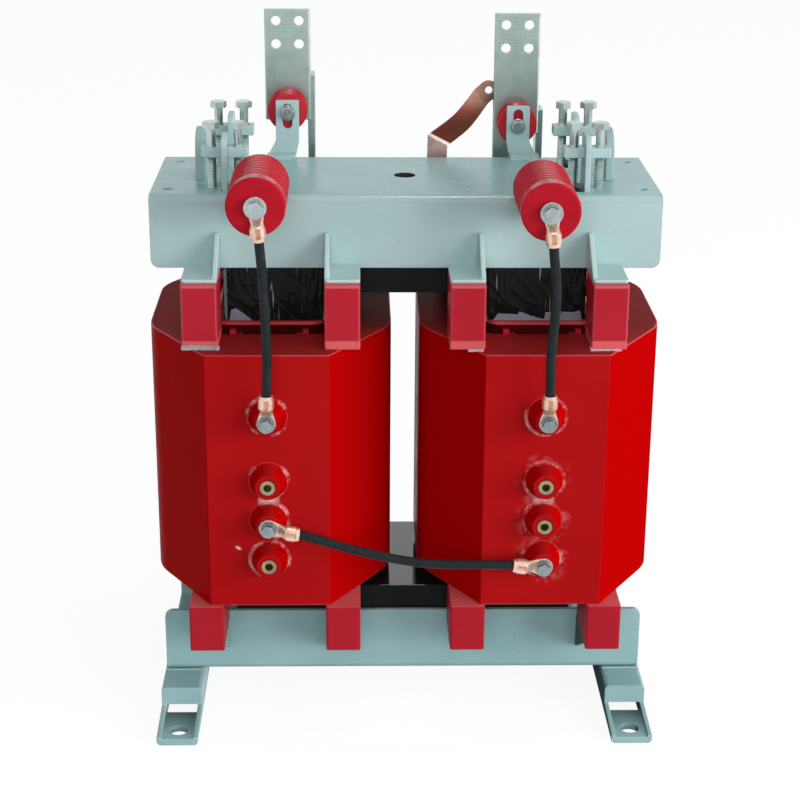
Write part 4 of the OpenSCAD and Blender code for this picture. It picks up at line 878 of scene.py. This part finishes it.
busbars = {
    "leftBusbar": (-130, 735), "rightBusbar": (130, 731),  # middle, height of the upper holes
    "front": 125, "flatness": 0.5, "long": 30, "bend": 508, "round": 2.2, "edge": 0.7, "edgeAngle": 40, "brightSide": 0.1,
    "holePitch": 26, "holeRoom": 7.5,
    "dotPitch": 4, "dotRadius": 1.1, "dotFlat": 0.45, "across": 11, "down": 10, "above": 9,
}


def dressBusbar(name):  # rounded front edges with a painted highlight on the faces turned right, and pressed dots round the bolt holes
    x, z = busbars[name]
    bm = nodeMesh(name)
    cutAcross(bm, (0, 0, busbars["bend"] * mm), (0, 0, 1))

    def onFront(edge):  # long edges of the front face, above the bend
        a, b = (v.co for v in edge.verts)
        flat = max(abs(v.y - busbars["front"] * mm) for v in (a, b)) < busbars["flatness"] * mm
        return flat and abs(a.z - b.z) > busbars["long"] * mm

    for face in softenEdges(bm, busbars["round"] * mm, 3, chosen=onFront)["faces"]:
        face.material_index = int(face.normal.x > busbars["brightSide"])
    softenEdges(bm, busbars["edge"] * mm, 2, busbars["edgeAngle"])
    pitch, middle = busbars["holePitch"], (busbars["across"] - 1) / 2
    holes = [(x + a * pitch / 2, z - row * pitch) for a in (-1, 1) for row in (0, 1)]
    flatten = Matrix.Diagonal((1, busbars["dotFlat"], 1, 1))
    for i, j in ((i, j) for i in range(busbars["across"]) for j in range(busbars["down"])):
        dotX = x + (i - middle) * busbars["dotPitch"]
        dotZ = z + busbars["above"] - j * busbars["dotPitch"]
        if min(math.hypot(dotX - a, dotZ - b) for a, b in holes) >= busbars["holeRoom"]:
            place = Matrix.Translation((dotX * mm, busbars["front"] * mm, dotZ * mm)) @ flatten
            bmesh.ops.create_icosphere(bm, subdivisions=1, radius=busbars["dotRadius"] * mm, matrix=place)
    addPiece(name, bm, "busbarTin", even=True, more=["tinHighlight"])


dressBusbar("leftBusbar")
dressBusbar("rightBusbar")
print("busbars dressed")

# painted weld beads along the joints of the frame
welds = {
    "radius": 1.3, "roundness": 2, "step": 1.4, "least": 6, "sway": 0.35,
    "skirt": 95.2, "seatTop": 514.3, "half": 18.5, "gussetTop": 546, "gusset": 5, "inset": 0.6, "outset": 0.4, "below": 3,
    "brackets": [(-214, 1), (-67, -1), (62.5, 1), (209.5, -1)],  # middle and gusset side
    "eyes": (220, 4.5, 24, 588.4), "feet": (248.5, 20, 95.6, 35.9), "straps": (137, 16, 71.8, 588.6),
    "state": 1, "seed": (0.9, 3.7, 0.3),  # fixed state of the noise, and steps through it
    "size": (0.85, 0.25, 2.1, 0.35, 0.4),  # mean, ripple and its pitch, noise and its scale
}


def weldRuns():
    runs, seat, top = [], welds["seatTop"], welds["gussetTop"]
    for x, side in welds["brackets"]:
        face = x + side * welds["half"]
        inner, outer = face - side * (welds["gusset"] + welds["inset"]), face + side * welds["outset"]
        for y in (-welds["skirt"], welds["skirt"]):
            runs.append(((x - side * welds["half"], y, seat), (inner, y, seat)))
            runs.append(((inner, y, seat), (inner, y, top)))
            runs.append(((outer, y, seat - welds["below"]), (outer, y, top)))
    for side in (-1, 1):
        x, half, depth, z = welds["eyes"]
        for face in (-half, half):
            runs.append(((side * x + face, -depth, z), (side * x + face, depth, z)))
        x, half, y, z = welds["feet"]
        for front in (-1, 1):
            runs.append(((side * x - half, front * y, z), (side * x + half, front * y, z)))
        x, half, y, z = welds["straps"]
        runs.append(((side * x - half, y, z), (side * x + half, y, z)))
    return runs


def layWelds():
    data = bpy.data.curves.new("weldBeads", "CURVE")
    data.dimensions, data.use_fill_caps = "3D", True
    data.bevel_depth, data.bevel_resolution = welds["radius"] * mm, welds["roundness"]
    noise.seed_set(welds["state"])
    stepSeed, runSeed, baseSeed = welds["seed"]
    mean, ripple, pitch, rough, scale = welds["size"]
    for number, (start, end) in enumerate(weldRuns()):
        start, end = Vector(start), Vector(end)
        count = max(welds["least"], int((end - start).length / welds["step"]))
        line = data.splines.new("POLY")
        line.points.add(count)
        for i, point in enumerate(line.points):
            seed = Vector((i * stepSeed, number * runSeed, baseSeed))
            place = start.lerp(end, i / count) + noise.noise_vector(seed) * welds["sway"]
            point.co = (*(place * mm), 1)
            point.radius = mean + ripple * math.sin(i * pitch) + rough * noise.noise(seed * scale)
    beads = bpy.data.objects.new("weldBeads", data)
    scene.collection.objects.link(beads)
    data.materials.append(finishes["frameGlint"])
    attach(beads, "root")


layWelds()
print("weld beads laid")

film = {  # black wrap on the core, above each inner coil
    "spans": {"leftFilm": (-189.5, -88), "rightFilm": (88, 191.5)}, "low": 453, "high": 509.5, "front": 90.4,
    "thick": 0.5, "columns": 130, "rows": 70, "deep": 1.9, "smooth": 80, "newSeed": 20,
    # noise scales across and up, seed, sharpness and share of each kind of crease
    "upright": (0.16, 0.018, 0, 9, 0.45), "slanting": (0.06, 0.02, 4, 12, 0.35), "broad": (0.05, 0.06, 9, 0.2),
}


def crease(x, z, seed):  # thin ridges, upright and slanting, in mm
    wide, tall, more, sharp, share = film["upright"]
    upright = share * (1 - abs(noise.noise(Vector((x * wide, z * tall, seed + more))))) ** sharp
    wide, tall, more, sharp, share = film["slanting"]
    slanting = share * (1 - abs(noise.noise(Vector(((x + z) * wide, (x - z) * tall, seed + more))))) ** sharp
    wide, tall, more, share = film["broad"]
    broad = share * (noise.noise(Vector((x * wide, z * tall, seed + more))) + 1)
    return film["deep"] * (upright + slanting + broad)


def gridSheet(bm, columns, rows, place, thick):  # thin sheet through place(u, v), in mm
    made = bmesh.ops.create_grid(bm, x_segments=columns, y_segments=rows, size=0.5)["verts"]
    faces = list({face for vert in made for face in vert.link_faces})
    for vert in made:
        vert.co = Vector(place(vert.co.x + 0.5, vert.co.y + 0.5)) * mm
    bmesh.ops.solidify(bm, geom=faces, thickness=thick * mm)


def wrapCore():
    for index, (name, (left, right)) in enumerate(film["spans"].items()):
        bm = bmesh.new()
        for front in (-1, 1):
            def place(u, v):
                x, z = left + u * (right - left), film["low"] + v * (film["high"] - film["low"])
                return x, front * (film["front"] + crease(x, z, index * film["newSeed"] + front)), z

            gridSheet(bm, film["columns"], film["rows"], place, film["thick"])
        bmesh.ops.recalc_face_normals(bm, faces=bm.faces)
        addPiece(name, bm, "blackFilm", extra=True, smoothAngle=film["smooth"])


wrapCore()

papers = {  # insulation paper above the inner coils, and slips under the pads, in mm
    "plane": 94.2, "foot": 451.5, "thick": 0.35, "cuffGrid": (120, 6), "wave": (0.12, 0.1, 2, 0.7),
    "cuffs": [[(-187, 455), (-185.5, 463.5), (-180.5, 465.5), (-172, 459.5), (-163, 452.2)],
              [(93, 452.2), (98.5, 459.8), (119.5, 458.6), (121, 462), (134, 457), (148, 453.2), (148.5, 461),
               (155, 461.4), (156, 456), (165, 456.5), (166, 462), (178, 461), (186, 463), (187.5, 455)]],
    "slips": [  # left, right, depth, rise of the front edge
        (-233, -194, (-150, -161.6), 4.6), (63, 79, (-152, -167), 0.7), (190, 222, (-152, -165.5), 0.6)],
    "level": 441.5, "slipGrid": (40, 10), "tucked": 0.6, "ragged": (0.16, 1, 1.6), "curl": 0.12,
}


def heightAt(outline, x):
    for (a, low), (b, high) in zip(outline, outline[1:]):
        if x <= b:
            return low + (high - low) * max(0, x - a) / (b - a)
    return outline[-1][1]


def layPapers():
    bm, under = bmesh.new(), bmesh.new()
    wide, tall, seed, depth = papers["wave"]
    for outline in papers["cuffs"]:
        def cuff(u, v):
            x = outline[0][0] + u * (outline[-1][0] - outline[0][0])
            z = papers["foot"] + v * (heightAt(outline, x) - papers["foot"])
            return x, -papers["plane"] - depth * v * noise.noise(Vector((x * wide, z * tall, seed))), z

        gridSheet(bm, *papers["cuffGrid"], cuff, papers["thick"])
    scale, edgeSeed, size = papers["ragged"]
    tucked = papers["tucked"]
    for left, right, (back, front), rise in papers["slips"]:
        def slip(u, v):
            x = left + u * (right - left)
            ragged = size * noise.noise(Vector((x * scale, left, edgeSeed)))
            y = back + min(1, v / tucked) * (front - back + ragged)
            return x, y, papers["level"] + max(0, v - tucked) / (1 - tucked) * rise * (1 + papers["curl"] * ragged)

        gridSheet(under, *papers["slipGrid"], slip, papers["thick"])
    for name, sheets, finishName in (("insulationPaper", bm, "paper"), ("packingSlips", under, "packing")):
        bmesh.ops.recalc_face_normals(sheets, faces=sheets.faces)
        addPiece(name, sheets, finishName, extra=True)


layPapers()
print("film and paper laid")
